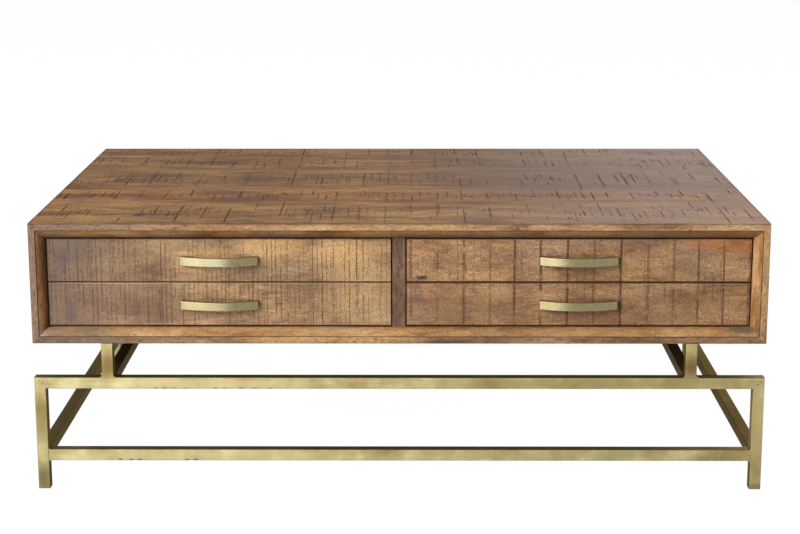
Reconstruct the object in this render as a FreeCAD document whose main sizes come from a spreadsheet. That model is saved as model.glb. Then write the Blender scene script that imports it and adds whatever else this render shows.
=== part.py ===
import FreeCAD, Part
import math
import os
import re

import Sketcher
from FreeCAD import Placement, Rotation, Vector

# Storage coffee table: a mitred wooden case with four drawers, carried on a welded frame of square tube.
# Lengths are in millimetres. +X runs to the right, +Y to the back and +Z up, and the origin lies on the
# floor under the middle of the case.

SIZES = {
    # Case
    "case_width": 1200,
    "case_depth": 750,
    "case_height": 200,
    "panel_thickness": 25,
    "edge_ease": 1.5,
    "bead_radius": 13,
    "bead_gap": 1,
    "bead_step": 1,
    "back_panel_thickness": 9,
    "back_rebate": 12,
    "divider_thickness": 21,
    "dado_depth": 6,
    # Drawers
    "drawer_back_gap": 87,
    "drawer_gap": 2,
    "front_reveal": 2.5,
    "seam_gap": 2,
    "front_thickness": 18,
    "front_ease": 0.8,
    "front_rabbet": 8,
    "side_thickness": 14,
    "side_lift": 4,
    "side_drop": 9,
    "back_board_thickness": 12,
    "back_board_inset": 8,
    "back_dado": 5,
    "bottom_thickness": 6,
    "bottom_groove": 6,
    "bottom_rise": 6,
    "bottom_play": 0.2,
    # Runners, which the drawer sides ride on by a groove
    "runner_height": 12,
    "runner_rise": 24,
    "side_web": 2,
    "groove_start": 32,
    "slide_clearance": 0.3,
    "runner_screw_inset": 40,
    # Bow pulls
    "pull_length": 127,
    "pull_height": 14,
    "pull_thickness": 5,
    "pull_end": 8,
    "pull_bow": 13,
    "pull_foot": 14,
    "pull_ease": 0.8,
    "thread_depth": 6,
    # Tube base
    "base_height": 250,
    "tube_size": 19,
    "tube_wall": 1.5,
    "tube_corner": 1.2,
    "leg_height": 192,
    "lower_rail_height": 49,
    "riser_inset": 112,
    "plate_thickness": 3,
    "plate_screw_offset": 16,
    "plate_screw_pitch": 30,
    "plate_end": 15,
    "plug_depth": 14,
    # Screws
    "wood_screw_diameter": 4,
    "wood_screw_head": 8,
    "runner_screw_length": 16,
    "back_screw_length": 25,
    "back_screw_inset": 90,
    "back_screw_spread": 70,
    "pull_screw_diameter": 4,
    "pull_screw_head": 8,
    "pull_screw_head_height": 2.5,
    "plate_screw_diameter": 5,
    "plate_screw_head": 10,
    "plate_screw_head_height": 3,
    "plate_screw_length": 20,
    "screw_clearance": 0.2,
    "thread_end_gap": 0.5,
    "recess_length": 4.4,
    "recess_width": 1.1,
    "recess_depth": 1.3,
}

DERIVED = {
    # The flat band that is left in front of a panel, outside its bead
    "band_width": "panel_thickness - bead_radius - bead_gap",
    "bead_outer": "band_width + bead_gap",
    "front_recess": "bead_radius + bead_step",
    "drawer_face": "front_recess - case_depth / 2",
    "back_recess": "case_depth / 2 - back_panel_thickness",
    "case_top": "base_height + case_height",
    "case_middle": "base_height + case_height / 2",
    "case_floor": "base_height + panel_thickness",
    "opening_height": "case_height - 2 * panel_thickness",
    "bay_width": "(case_width - 2 * panel_thickness - divider_thickness) / 2",
    "bay_center": "(divider_thickness + bay_width) / 2",
    "back_lip": "panel_thickness - back_rebate",
    "back_screw_line": "panel_thickness - back_rebate / 2",
    "back_screw_pitch": "(case_width - 2 * back_screw_inset) / 3",
    # Drawer sizes, seen from the bay that the drawer fills
    "drawer_length": "case_depth - front_recess - back_panel_thickness - drawer_back_gap",
    "front_width": "bay_width - 2 * drawer_gap",
    "front_height": "(opening_height - 2 * front_reveal - seam_gap) / 2",
    "lower_base": "case_floor + front_reveal",
    "upper_base": "lower_base + front_height + seam_gap",
    "side_top": "front_height - side_drop",
    "side_front": "front_thickness - front_rabbet",
    "inner_width": "front_width - 2 * side_thickness",
    "bottom_base": "side_lift + bottom_rise",
    "bottom_top": "bottom_base + bottom_thickness",
    "bottom_width": "inner_width + 2 * bottom_groove - 2 * bottom_play",
    "bottom_start": "front_thickness - bottom_groove + bottom_play",
    "back_board_end": "drawer_length - back_board_inset",
    "back_board_start": "back_board_end - back_board_thickness",
    # A web of the drawer side is left between the runner's groove and the back board's dado
    "groove_depth": "side_thickness - back_dado - side_web",
    "groove_base": "side_lift + runner_rise",
    "groove_top": "groove_base + runner_height + 2 * slide_clearance",
    "runner_thickness": "drawer_gap + groove_depth - slide_clearance",
    "runner_length": "drawer_length - groove_start - slide_clearance",
    "runner_start": "drawer_face + groove_start + slide_clearance",
    # Each arc of the pull is set by its chord and its rise
    "pull_pitch": "pull_length - pull_foot",
    "pull_inner_half": "pull_length / 2 - pull_foot",
    "pull_inner_rise": "pull_end + pull_bow - pull_thickness",
    "pull_outer_radius": "((pull_length / 2)^2 + pull_bow^2) / (2 * pull_bow)",
    "pull_inner_radius": "(pull_inner_half^2 + pull_inner_rise^2) / (2 * pull_inner_rise)",
    "pull_screw_length": "front_thickness + thread_depth - thread_end_gap",
    # Centre lines of the tubes
    "leg_line": "case_width / 2 - tube_size / 2",
    "frame_line": "case_depth / 2 - tube_size / 2",
    "riser_line": "case_width / 2 - riser_inset - tube_size / 2",
    "upper_rail_line": "leg_height - tube_size / 2",
    "lower_rail_line": "lower_rail_height + tube_size / 2",
    "riser_height": "base_height - leg_height - plate_thickness",
    "plate_base": "base_height - plate_thickness",
    "plate_length": "tube_size + plate_screw_offset + plate_screw_pitch + plate_end",
    "plug_size": "tube_size - 2 * tube_wall",
}

ACROSS = Rotation(Vector(0, 1, 0), 90)
BACKWARD = Rotation(Vector(1, 0, 0), -90)
HALF_TURN = Rotation(Vector(0, 0, 1), 180)
UPSIDE_DOWN = Rotation(Vector(1, 0, 0), 180)
TOUCH = 1e-6

doc = FreeCAD.newDocument("coffee_table")
sheet = doc.addObject("Spreadsheet::Sheet", "Sizes")
sub_parts = []


def fill_sheet():
    """Write the driving sizes as plain numbers, then the sizes that follow from them."""
    cells = [(name, str(number)) for name, number in SIZES.items()]
    cells += [(name, "=" + formula) for name, formula in DERIVED.items()]
    for row, (name, content) in enumerate(cells, start=1):
        sheet.set(f"A{row}", name)
        sheet.set(f"B{row}", content)
        sheet.setAlias(f"B{row}", name)
    doc.recompute()


def size(formula):
    """The number that a formula of size names stands for."""
    return float(sheet.evalExpression(formula))


def bind(thing, property_name, formula):
    """Tie a property to the sheet."""
    thing.setExpression(property_name, re.sub(r"[a-z][a-z_]*", r"Sizes.\g<0>", formula))


def new_body(label):
    body = doc.addObject("PartDesign::Body", label)
    body.Label = label
    return body


def add_sketch(body, name, plane, offset="0"):
    """A sketch on one of the body's own origin planes, moved along that plane's normal."""
    sketch = body.newObject("Sketcher::SketchObject", name)
    support = next(feature for feature in body.Origin.OriginFeatures if feature.Role == plane)
    sketch.AttachmentSupport = [(support, "")]
    sketch.MapMode = "FlatFace"
    bind(sketch, "AttachmentOffset.Base.z", offset)
    return sketch


def fix_point(sketch, geometry, point, x, y):
    """Hold a point of the sketch at two formulas, measured from the sketch's origin."""
    for kind, formula in (("DistanceX", x), ("DistanceY", y)):
        rule = Sketcher.Constraint(kind, -1, 1, geometry, point, size(formula))
        bind(sketch, f"Constraints[{sketch.addConstraint(rule)}]", formula)


def fix_radius(sketch, geometry, radius):
    rule = Sketcher.Constraint("Radius", geometry, size(radius))
    bind(sketch, f"Constraints[{sketch.addConstraint(rule)}]", radius)


def join_points(sketch, first, first_point, second, second_point):
    sketch.addConstraint(Sketcher.Constraint("Coincident", first, first_point, second, second_point))


def draw_polygon(sketch, corners):
    """A closed run of straight lines with every corner tied to its own pair of formulas."""
    points = [Vector(size(x), size(y), 0) for x, y in corners]
    lines = [sketch.addGeometry(Part.LineSegment(points[i - 1], points[i])) for i in range(len(points))]
    for i, (x, y) in enumerate(corners):
        join_points(sketch, lines[i - 1], 2, lines[i], 1)
        fix_point(sketch, lines[i], 2, x, y)


def rectangle(left, low, right, high):
    return [(left, low), (right, low), (right, high), (left, high)]


def draw_circle(sketch, x, y, radius):
    circle = sketch.addGeometry(Part.Circle(Vector(size(x), size(y), 0), Vector(0, 0, 1), size(radius)))
    fix_point(sketch, circle, 3, x, y)
    fix_radius(sketch, circle, radius)


def pad(body, sketch, length, side="One side", backwards=False):
    feature = body.newObject("PartDesign::Pad", "pad")
    feature.Profile = sketch
    feature.SideType = side
    feature.Reversed = backwards
    bind(feature, "Length", length)
    doc.recompute()


def require_cut(body, volume_before):
    """Stop where a cut has taken nothing away."""
    doc.recompute()
    if body.Tip.Shape.Volume > volume_before - TOUCH:
        raise ValueError(f"a cut in {body.Label} removes nothing")


def pocket(body, sketch, depth, backwards=False):
    volume = body.Tip.Shape.Volume
    feature = body.newObject("PartDesign::Pocket", "pocket")
    feature.Profile = sketch
    feature.Reversed = backwards
    bind(feature, "Length", depth)
    require_cut(body, volume)


def cut_through(body, sketch):
    volume = body.Tip.Shape.Volume
    feature = body.newObject("PartDesign::Pocket", "cut")
    feature.Profile = sketch
    feature.SideType = "Symmetric"
    feature.Type = "ThroughAll"
    require_cut(body, volume)


def countersunk_holes(body, sketch, backwards=False):
    """Through holes for wood screws whose heads lie flush."""
    volume = body.Tip.Shape.Volume
    feature = body.newObject("PartDesign::Hole", "screw_holes")
    feature.Profile = sketch
    feature.DepthType = "ThroughAll"
    feature.HoleCutType = "Countersink"
    feature.HoleCutCountersinkAngle = 90
    feature.Reversed = backwards
    bind(feature, "Diameter", "wood_screw_diameter + 2 * screw_clearance")
    bind(feature, "HoleCutDiameter", "wood_screw_head + 2 * screw_clearance")
    require_cut(body, volume)


def round_edges(body, radius, wanted):
    """Round the edges of the last feature that the test picks out."""
    base = body.Tip
    names = [f"Edge{number}" for number, edge in enumerate(base.Shape.Edges, start=1) if wanted(edge)]
    feature = body.newObject("PartDesign::Fillet", "eased_edges")
    feature.Base = (base, names)
    bind(feature, "Radius", radius)
    doc.recompute()


def lies_at(edge, **places):
    """True where both ends of an edge have the given coordinates."""
    return all(
        abs(getattr(vertex.Point, axis) - place) < TOUCH
        for vertex in edge.Vertexes
        for axis, place in places.items()
    )


def keep(piece, x, y, z, rotation=Rotation()):
    """Put a sub-part in its place and list it for export."""
    piece.Placement = Placement(Vector(), rotation)
    for axis, formula in zip("xyz", (x, y, z)):
        bind(piece, f"Placement.Base.{axis}", formula)
    sub_parts.append(piece)


def keep_group(label, pattern, places):
    """Separate copies of one solid, listed as one sub-part."""
    copies = []
    for x, y, z, rotation in places:
        copy = pattern.Shape.copy()
        copy.Placement = Placement(Vector(size(x), size(y), size(z)), rotation)
        copies.append(copy)
    group = doc.addObject("Part::Feature", label)
    group.Label = label
    group.Shape = Part.makeCompound(copies)
    group.Placement = Placement()
    sub_parts.append(group)


# Case


def make_panel(label, length, housed, x, z, rotation):
    """A mitred case panel, drawn with its outer face up and its inner face one thickness below."""
    body = new_body(label)
    section = add_sketch(body, "section", "YZ_Plane")
    front, back = "-case_depth / 2", "case_depth / 2"
    draw_polygon(section, [
        (front, "0"), (back, "0"), (back, "-back_lip"), ("back_recess", "-back_lip"),
        ("back_recess", "-panel_thickness"), ("drawer_face", "-panel_thickness"),
        ("drawer_face", "-band_width"), (front, "-band_width"),
    ])
    pad(body, section, length, side="Symmetric")
    if housed:
        housing = add_sketch(body, "divider_housing", "XY_Plane", "-panel_thickness")
        half = "divider_thickness / 2"
        draw_polygon(housing, rectangle("-" + half, "drawer_face", half, "back_recess"))
        pocket(body, housing, "dado_depth", backwards=True)
    mitres = add_sketch(body, "mitres", "XZ_Plane")
    for end in ("", "-"):
        draw_polygon(mitres, [
            (f"{end}({length} / 2)", "0"), (f"{end}({length} / 2)", "-panel_thickness"),
            (f"{end}({length} / 2 - panel_thickness)", "-panel_thickness"),
        ])
    cut_through(body, mitres)
    depth = size("case_depth / 2")
    round_edges(body, "edge_ease", lambda edge: lies_at(edge, z=0, y=depth) or lies_at(edge, z=0, y=-depth))
    keep(body, x, "0", z, rotation)


def make_bead(label, length, x, z, rotation):
    """A mitred quarter-round stick in the front rebate of a panel, in the frame of that panel."""
    body = new_body(label)
    section = add_sketch(body, "section", "YZ_Plane")
    center = Vector(size("drawer_face"), -size("bead_outer"), 0)
    radius = size("bead_radius")
    circle = Part.Circle(center, Vector(0, 0, 1), radius)
    arc = section.addGeometry(Part.ArcOfCircle(circle, math.pi, 1.5 * math.pi))
    outer = section.addGeometry(Part.LineSegment(center - Vector(radius, 0, 0), center))
    rear = section.addGeometry(Part.LineSegment(center, center - Vector(0, radius, 0)))
    join_points(section, arc, 1, outer, 1)
    join_points(section, outer, 2, rear, 1)
    join_points(section, rear, 2, arc, 2)
    join_points(section, arc, 3, rear, 1)
    section.addConstraint(Sketcher.Constraint("Horizontal", outer))
    section.addConstraint(Sketcher.Constraint("Vertical", rear))
    fix_point(section, rear, 1, "drawer_face", "-bead_outer")
    fix_radius(section, arc, "bead_radius")
    pad(body, section, f"{length} - 2 * bead_outer", side="Symmetric")
    mitres = add_sketch(body, "mitres", "XZ_Plane")
    half = f"({length} / 2 - bead_outer)"
    for end in ("", "-"):
        draw_polygon(mitres, [
            (end + half, "-bead_outer"), (end + half, "-panel_thickness"),
            (f"{end}({half} - bead_radius)", "-panel_thickness"),
        ])
    cut_through(body, mitres)
    keep(body, x, "0", z, rotation)


def make_case_sides():
    """Four panels with their outer faces up, down, left and right, each with its bead."""
    faces = {
        "top": ("case_width", True, "0", "case_top", Rotation()),
        "bottom": ("case_width", True, "0", "base_height", Rotation(Vector(0, 1, 0), 180)),
        "left": ("case_height", False, "-case_width / 2", "case_middle", Rotation(Vector(0, 1, 0), -90)),
        "right": ("case_height", False, "case_width / 2", "case_middle", ACROSS),
    }
    for name, (length, housed, x, z, rotation) in faces.items():
        label = f"{name}_panel" if housed else f"{name}_side_panel"
        make_panel(label, length, housed, x, z, rotation)
        make_bead(f"{name}_bead", length, x, z, rotation)


def make_divider():
    """The upright between the bays, housed above and below and flush with the drawer fronts."""
    body = new_body("center_divider")
    plan = add_sketch(body, "plan", "XY_Plane")
    half = "divider_thickness / 2"
    draw_polygon(plan, rectangle("-" + half, "drawer_face", half, "back_recess"))
    pad(body, plan, "opening_height + 2 * dado_depth")
    keep(body, "0", "0", "case_floor - dado_depth")


def back_screw_points():
    """Where the back panel's screws go: along the top and bottom, at the sides and in the divider."""
    columns = [f"{step} * back_screw_pitch / 2" for step in (-3, -1, 1, 3)]
    rows = ("case_top - back_screw_line", "base_height + back_screw_line")
    points = [(x, z) for z in rows for x in columns]
    points += [(f"{side}(case_width / 2 - back_screw_line)", "case_middle") for side in ("", "-")]
    points += [("0", f"case_middle {side} back_screw_spread / 2") for side in "+-"]
    return points


def make_back_panel():
    body = new_body("back_panel")
    outline = add_sketch(body, "outline", "XZ_Plane", "-case_depth / 2")
    half = "(case_width / 2 - back_lip)"
    draw_polygon(outline, rectangle("-" + half, "base_height + back_lip", half, "case_top - back_lip"))
    pad(body, outline, "back_panel_thickness")
    holes = add_sketch(body, "holes", "XZ_Plane", "-case_depth / 2")
    for x, z in back_screw_points():
        draw_circle(holes, x, z, "wood_screw_diameter / 2")
    countersunk_holes(body, holes, backwards=True)
    keep(body, "0", "0", "0")


# Screws


def cross_recess(body, level):
    """The driver's cross in a screw's head."""
    tip, edge = "recess_length / 2", "recess_width / 2"
    cross = add_sketch(body, "recess", "XY_Plane", level)
    draw_polygon(cross, [
        (tip, edge), (edge, edge), (edge, tip), ("-" + edge, tip), ("-" + edge, edge), ("-" + tip, edge),
        ("-" + tip, "-" + edge), ("-" + edge, "-" + edge), ("-" + edge, "-" + tip), (edge, "-" + tip),
        (edge, "-" + edge), (tip, "-" + edge),
    ])
    pocket(body, cross, "recess_depth")


def turn_screw(name, profile, head_level):
    """A screw turned about its own axis, with its point down."""
    body = new_body(name)
    half_section = add_sketch(body, "half_section", "XZ_Plane")
    draw_polygon(half_section, profile)
    turning = body.newObject("PartDesign::Revolution", "turning")
    turning.Profile = half_section
    turning.ReferenceAxis = (half_section, ["V_Axis"])
    turning.Angle = 360
    doc.recompute()
    cross_recess(body, head_level)
    return body


def wood_screw(name, length):
    """A countersunk screw whose head ends flush at the level of its own origin."""
    head, shank = "wood_screw_head / 2", "wood_screw_diameter / 2"
    return turn_screw(name, [
        ("0", "0"), (head, "0"), (shank, f"{shank} - {head}"),
        (shank, f"wood_screw_diameter - {length}"), ("0", "-" + length),
    ], "0")


def pan_screw(name, kind, length):
    """A pan-headed screw whose head sits on the level of its own origin."""
    head, shank, height = f"{kind}_head / 2", f"{kind}_diameter / 2", f"{kind}_head_height"
    return turn_screw(name, [
        ("0", height), (head, height), (head, "0"), (shank, "0"),
        (shank, "-" + length), ("0", "-" + length),
    ], height)


def make_back_screws():
    """One screw in each hole of the back panel, driven from behind."""
    screw = wood_screw("back_screw", "back_screw_length")
    places = [(x, "case_depth / 2", z, BACKWARD) for x, z in back_screw_points()]
    keep_group("back_panel_screws", screw, places)


# Runners

LEVELS = {"upper": "upper_base", "lower": "lower_base"}
BAYS = {"left": "-bay_center", "right": "bay_center"}


def runner_screw_places():
    return ("runner_screw_inset", "runner_length / 2", "runner_length - runner_screw_inset")


def runner_walls():
    """The four wall faces that carry runners, each with the way that it faces."""
    return {
        "panel_thickness - case_width / 2": 1,
        "-divider_thickness / 2": -1,
        "divider_thickness / 2": 1,
        "case_width / 2 - panel_thickness": -1,
    }


def make_runners():
    """Eight strips on the walls of the bays, with their screws, drawn on a wall that faces +X."""
    strip = new_body("runner_strip")
    plan = add_sketch(strip, "plan", "XY_Plane")
    draw_polygon(plan, rectangle("0", "0", "runner_thickness", "runner_length"))
    pad(strip, plan, "runner_height")
    holes = add_sketch(strip, "holes", "YZ_Plane", "runner_thickness")
    for y in runner_screw_places():
        draw_circle(holes, y, "runner_height / 2", "wood_screw_diameter / 2")
    countersunk_holes(strip, holes)
    screw = wood_screw("runner_screw", "runner_screw_length")
    strips, screws = [], []
    for wall, facing in runner_walls().items():
        for base in LEVELS.values():
            low = f"{base} + groove_base + slide_clearance"
            if facing > 0:
                strips.append((wall, "runner_start", low, Rotation()))
            else:
                strips.append((wall, "runner_start + runner_length", low, HALF_TURN))
            for y in runner_screw_places():
                head = f"{wall} + ({facing}) * runner_thickness"
                turn = Rotation(Vector(0, 1, 0), 90 * facing)
                screws.append((head, f"runner_start + {y}", f"{low} + runner_height / 2", turn))
    keep_group("drawer_runners", strip, strips)
    keep_group("runner_screws", screw, screws)


# Drawers. Each piece is drawn in its drawer's frame: X from the middle of the bay, Y back from the
# face of the front, Z up from the lower edge of the front.


def make_drawer_front(label, place):
    body = new_body(label)
    outline = add_sketch(body, "outline", "XZ_Plane")
    draw_polygon(outline, rectangle("-front_width / 2", "0", "front_width / 2", "front_height"))
    pad(body, outline, "front_thickness", backwards=True)
    round_edges(body, "front_ease", lambda edge: lies_at(edge, y=0))
    rabbets = add_sketch(body, "side_rabbets", "XZ_Plane", "-front_thickness")
    for end in ("", "-"):
        inner = f"{end}(inner_width / 2)"
        draw_polygon(rabbets, rectangle(inner, "side_lift", f"{end}(front_width / 2)", "side_top"))
    pocket(body, rabbets, "front_rabbet", backwards=True)
    groove = add_sketch(body, "bottom_groove", "XZ_Plane", "-front_thickness")
    draw_polygon(groove, rectangle("-inner_width / 2", "bottom_base", "inner_width / 2", "bottom_top"))
    pocket(body, groove, "bottom_groove", backwards=True)
    holes = add_sketch(body, "pull_holes", "XZ_Plane")
    for end in ("", "-"):
        radius = "pull_screw_diameter / 2 + screw_clearance"
        draw_circle(holes, end + "pull_pitch / 2", "front_height / 2", radius)
    cut_through(body, holes)
    keep(body, *place)


def make_drawer_side(label, hand, place):
    """A side with the runner's groove outside, and the bottom's groove and the back's dado inside."""
    body = new_body(label)
    outer, inner = f"{hand}(front_width / 2)", f"{hand}(inner_width / 2)"
    slot = f"{hand}(inner_width / 2 + bottom_groove)"
    section = add_sketch(body, "section", "XZ_Plane", "-side_front")
    draw_polygon(section, [
        (outer, "side_lift"), (outer, "side_top"), (inner, "side_top"), (inner, "bottom_top"),
        (slot, "bottom_top"), (slot, "bottom_base"), (inner, "bottom_base"), (inner, "side_lift"),
    ])
    pad(body, section, "drawer_length - side_front", backwards=True)
    groove = add_sketch(body, "runner_groove", "YZ_Plane", outer)
    draw_polygon(groove, rectangle("groove_start", "groove_base", "drawer_length", "groove_top"))
    pocket(body, groove, "groove_depth", backwards=hand == "-")
    dado = add_sketch(body, "back_dado", "YZ_Plane", inner)
    draw_polygon(dado, rectangle("back_board_start", "bottom_top", "back_board_end", "side_top"))
    pocket(body, dado, "back_dado", backwards=hand == "")
    keep(body, *place)


def make_board(label, low_corner, lengths, place):
    """A plain rectangular board of the drawer."""
    board = doc.addObject("Part::Box", label)
    board.Label = label
    for property_name, formula in zip(("Length", "Width", "Height"), lengths):
        bind(board, property_name, formula)
    keep(board, *[f"{origin} + {corner}" for origin, corner in zip(place, low_corner)])


def make_pull(label, place):
    """A flat strap bent to a shallow bow, with a flat foot at each end."""
    body = new_body(label)
    plan = add_sketch(body, "plan", "XY_Plane", "front_height / 2 - pull_height / 2")
    half, inner = "pull_length / 2", "pull_inner_half"
    tip, crown, hollow = "-pull_end", "-(pull_end + pull_bow)", "-pull_inner_rise"

    def point(x, y):
        return Vector(size(x), size(y), 0)

    def line(start, stop):
        return plan.addGeometry(Part.LineSegment(point(*start), point(*stop)))

    def arc(left, middle, right):
        return plan.addGeometry(Part.Arc(point(*left), point(*middle), point(*right)))

    left_end = line(("-" + half, "0"), ("-" + half, tip))
    outer_bow = arc(("-" + half, tip), ("0", crown), (half, tip))
    right_end = line((half, tip), (half, "0"))
    right_foot = line((half, "0"), (inner, "0"))
    inner_bow = arc(("-" + inner, "0"), ("0", hollow), (inner, "0"))
    left_foot = line(("-" + inner, "0"), ("-" + half, "0"))
    join_points(plan, left_end, 2, outer_bow, 1)
    join_points(plan, outer_bow, 2, right_end, 1)
    join_points(plan, right_end, 2, right_foot, 1)
    join_points(plan, right_foot, 2, inner_bow, 2)
    join_points(plan, inner_bow, 1, left_foot, 1)
    join_points(plan, left_foot, 2, left_end, 1)
    fix_point(plan, left_end, 1, "-" + half, "0")
    fix_point(plan, left_end, 2, "-" + half, tip)
    fix_point(plan, right_end, 1, half, tip)
    fix_point(plan, right_end, 2, half, "0")
    fix_point(plan, right_foot, 2, inner, "0")
    fix_point(plan, left_foot, 1, "-" + inner, "0")
    fix_radius(plan, outer_bow, "pull_outer_radius")
    fix_radius(plan, inner_bow, "pull_inner_radius")
    pad(body, plan, "pull_height")
    round_edges(body, "pull_ease", lambda edge: edge.CenterOfMass.y < -TOUCH)
    holes = add_sketch(body, "threads", "XZ_Plane")
    for end in ("", "-"):
        radius = "pull_screw_diameter / 2 + screw_clearance"
        draw_circle(holes, end + "pull_pitch / 2", "front_height / 2", radius)
    pocket(body, holes, "thread_depth", backwards=True)
    keep(body, *place)


def make_drawers():
    screw = pan_screw("pull_screw", "pull_screw", "pull_screw_length")
    for level, base in LEVELS.items():
        for bay, middle in BAYS.items():
            name = f"{level}_{bay}"
            place = (middle, "drawer_face", base)
            make_drawer_front(f"{name}_drawer_front", place)
            make_drawer_side(f"{name}_drawer_left_side", "-", place)
            make_drawer_side(f"{name}_drawer_right_side", "", place)
            make_board(
                f"{name}_drawer_back",
                ("(-inner_width / 2 - back_dado)", "back_board_start", "bottom_top"),
                ("inner_width + 2 * back_dado", "back_board_thickness", "side_top - bottom_top"),
                place,
            )
            make_board(
                f"{name}_drawer_bottom",
                ("(-bottom_width / 2)", "bottom_start", "bottom_base"),
                ("bottom_width", "back_board_end - bottom_start", "bottom_thickness"),
                place,
            )
            make_pull(f"{name}_pull", place)
            inside, screw_level = "drawer_face + front_thickness", f"{base} + front_height / 2"
            keep_group(f"{name}_pull_screws", screw, [
                (f"{middle} {side} pull_pitch / 2", inside, screw_level, BACKWARD) for side in "+-"
            ])


# Base


def make_tube(label, length, mitres, x, y, z, rotation=Rotation()):
    """A square tube along its own Z. A mitred end is cut back on the +X side."""
    body = new_body(label)
    half, bore = "tube_size / 2", "(tube_size / 2 - tube_wall)"
    section = add_sketch(body, "section", "XY_Plane")
    draw_polygon(section, rectangle("-" + half, "-" + half, half, half))
    draw_polygon(section, rectangle("-" + bore, "-" + bore, bore, bore))
    pad(body, section, length)
    edge_place = size(half)
    round_edges(body, "tube_corner", lambda edge: edge.Curve.Direction.z ** 2 > 0.5 and all(
        abs(abs(place) - edge_place) < TOUCH for place in edge.CenterOfMass[:2]
    ))
    if mitres:
        cuts = add_sketch(body, "mitres", "XZ_Plane")
        for end, short in mitres:
            draw_polygon(cuts, [("-" + half, end), (half, end), (half, short)])
        cut_through(body, cuts)
    keep(body, x, y, z, rotation)


def make_frame():
    """Front and back frames of legs and rails, joined by the lower side rails and the cross rails."""
    width, depth = "case_width - 2 * tube_size", "case_depth - 2 * tube_size"
    leg_top = [("leg_height", "leg_height - tube_size")]
    both_ends = [("0", "tube_size"), ("case_width", "case_width - tube_size")]
    for row, y in (("front", "-frame_line"), ("back", "frame_line")):
        make_tube(f"{row}_left_leg", "leg_height", leg_top, "-leg_line", y, "0")
        make_tube(f"{row}_right_leg", "leg_height", leg_top, "leg_line", y, "0", HALF_TURN)
        upper_end, lower_end = "-case_width / 2", "tube_size - case_width / 2"
        make_tube(f"{row}_upper_rail", "case_width", both_ends, upper_end, y, "upper_rail_line", ACROSS)
        make_tube(f"{row}_lower_rail", width, [], lower_end, y, "lower_rail_line", ACROSS)
        make_tube(f"{row}_left_riser", "riser_height", [], "-riser_line", y, "leg_height")
        make_tube(f"{row}_right_riser", "riser_height", [], "riser_line", y, "leg_height")
    start = "tube_size - case_depth / 2"
    for hand, side in (("left", "-"), ("right", "")):
        make_tube(f"{hand}_lower_rail", depth, [], side + "leg_line", start, "lower_rail_line", BACKWARD)
        make_tube(f"{hand}_cross_rail", depth, [], side + "riser_line", start, "upper_rail_line", BACKWARD)


def plate_screw_points():
    """Two screws behind each riser, on its centre line."""
    first = "(case_depth / 2 - tube_size - plate_screw_offset)"
    reaches = (first, f"({first} - plate_screw_pitch)")
    return [(f"{side}riser_line", row + y) for side in ("", "-") for row in ("", "-") for y in reaches]


def make_plates():
    """A strip on top of each riser, as wide as the tube, with its screws up into the bottom panel."""
    body = new_body("mounting_plates")
    plan = add_sketch(body, "plan", "XY_Plane")
    for side in ("", "-"):
        for row in ("", "-"):
            draw_polygon(plan, rectangle(
                f"{side}(riser_line - tube_size / 2)", f"{row}(case_depth / 2 - plate_length)",
                f"{side}(riser_line + tube_size / 2)", f"{row}(case_depth / 2)",
            ))
    for x, y in plate_screw_points():
        draw_circle(plan, x, y, "plate_screw_diameter / 2 + screw_clearance")
    pad(body, plan, "plate_thickness")
    keep(body, "0", "0", "plate_base")
    screw = pan_screw("plate_screw", "plate_screw", "plate_screw_length")
    places = [(x, y, "plate_base", UPSIDE_DOWN) for x, y in plate_screw_points()]
    keep_group("mounting_screws", screw, places)


def make_plugs():
    """A plug pressed flush into the open end of each leg."""
    body = new_body("foot_plugs")
    plan = add_sketch(body, "plan", "XY_Plane")
    reach = "plug_size / 2"
    for side in ("", "-"):
        for row in ("", "-"):
            draw_polygon(plan, rectangle(
                f"{side}(leg_line - {reach})", f"{row}(frame_line - {reach})",
                f"{side}(leg_line + {reach})", f"{row}(frame_line + {reach})",
            ))
    pad(body, plan, "plug_depth")
    keep(body, "0", "0", "0")


def check_document():
    """Stop before anything is written if a feature failed or a solid isn't sound."""
    doc.recompute()
    for thing in doc.Objects:
        if "Invalid" in thing.State or "Error" in thing.State:
            raise ValueError(f"{thing.Name} failed: {thing.State}")
    for piece in sub_parts:
        if piece.Shape.isNull() or not piece.Shape.isValid() or not piece.Shape.Solids:
            raise ValueError(f"{piece.Label} has no sound solid")


def write_parts():
    os.makedirs("parts", exist_ok=True)
    for piece in sub_parts:
        piece.Shape.exportStep(f"parts/{piece.Label}.step")
        print(piece.Label, len(piece.Shape.Solids), "solids", round(piece.Shape.Volume / 1000, 1), "cm3")


fill_sheet()
make_case_sides()
make_divider()
make_back_panel()
make_back_screws()
make_runners()
make_drawers()
make_frame()
make_plates()
make_plugs()
check_document()
write_parts()
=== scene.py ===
# %% [markdown]
# # A storage coffee table in rough-sawn mango and brass
#
# A wooden case with four drawers stands on a frame of square tube. The solids come from CAD and stay
# where they are, because their shapes are right. This lesson gives each surface its finish, adds the
# welds that join the tubes, and then sets up the floor, the light and the camera.

# %% Load the frame
import math

import bmesh
import bpy
from mathutils import Matrix, Vector


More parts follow.
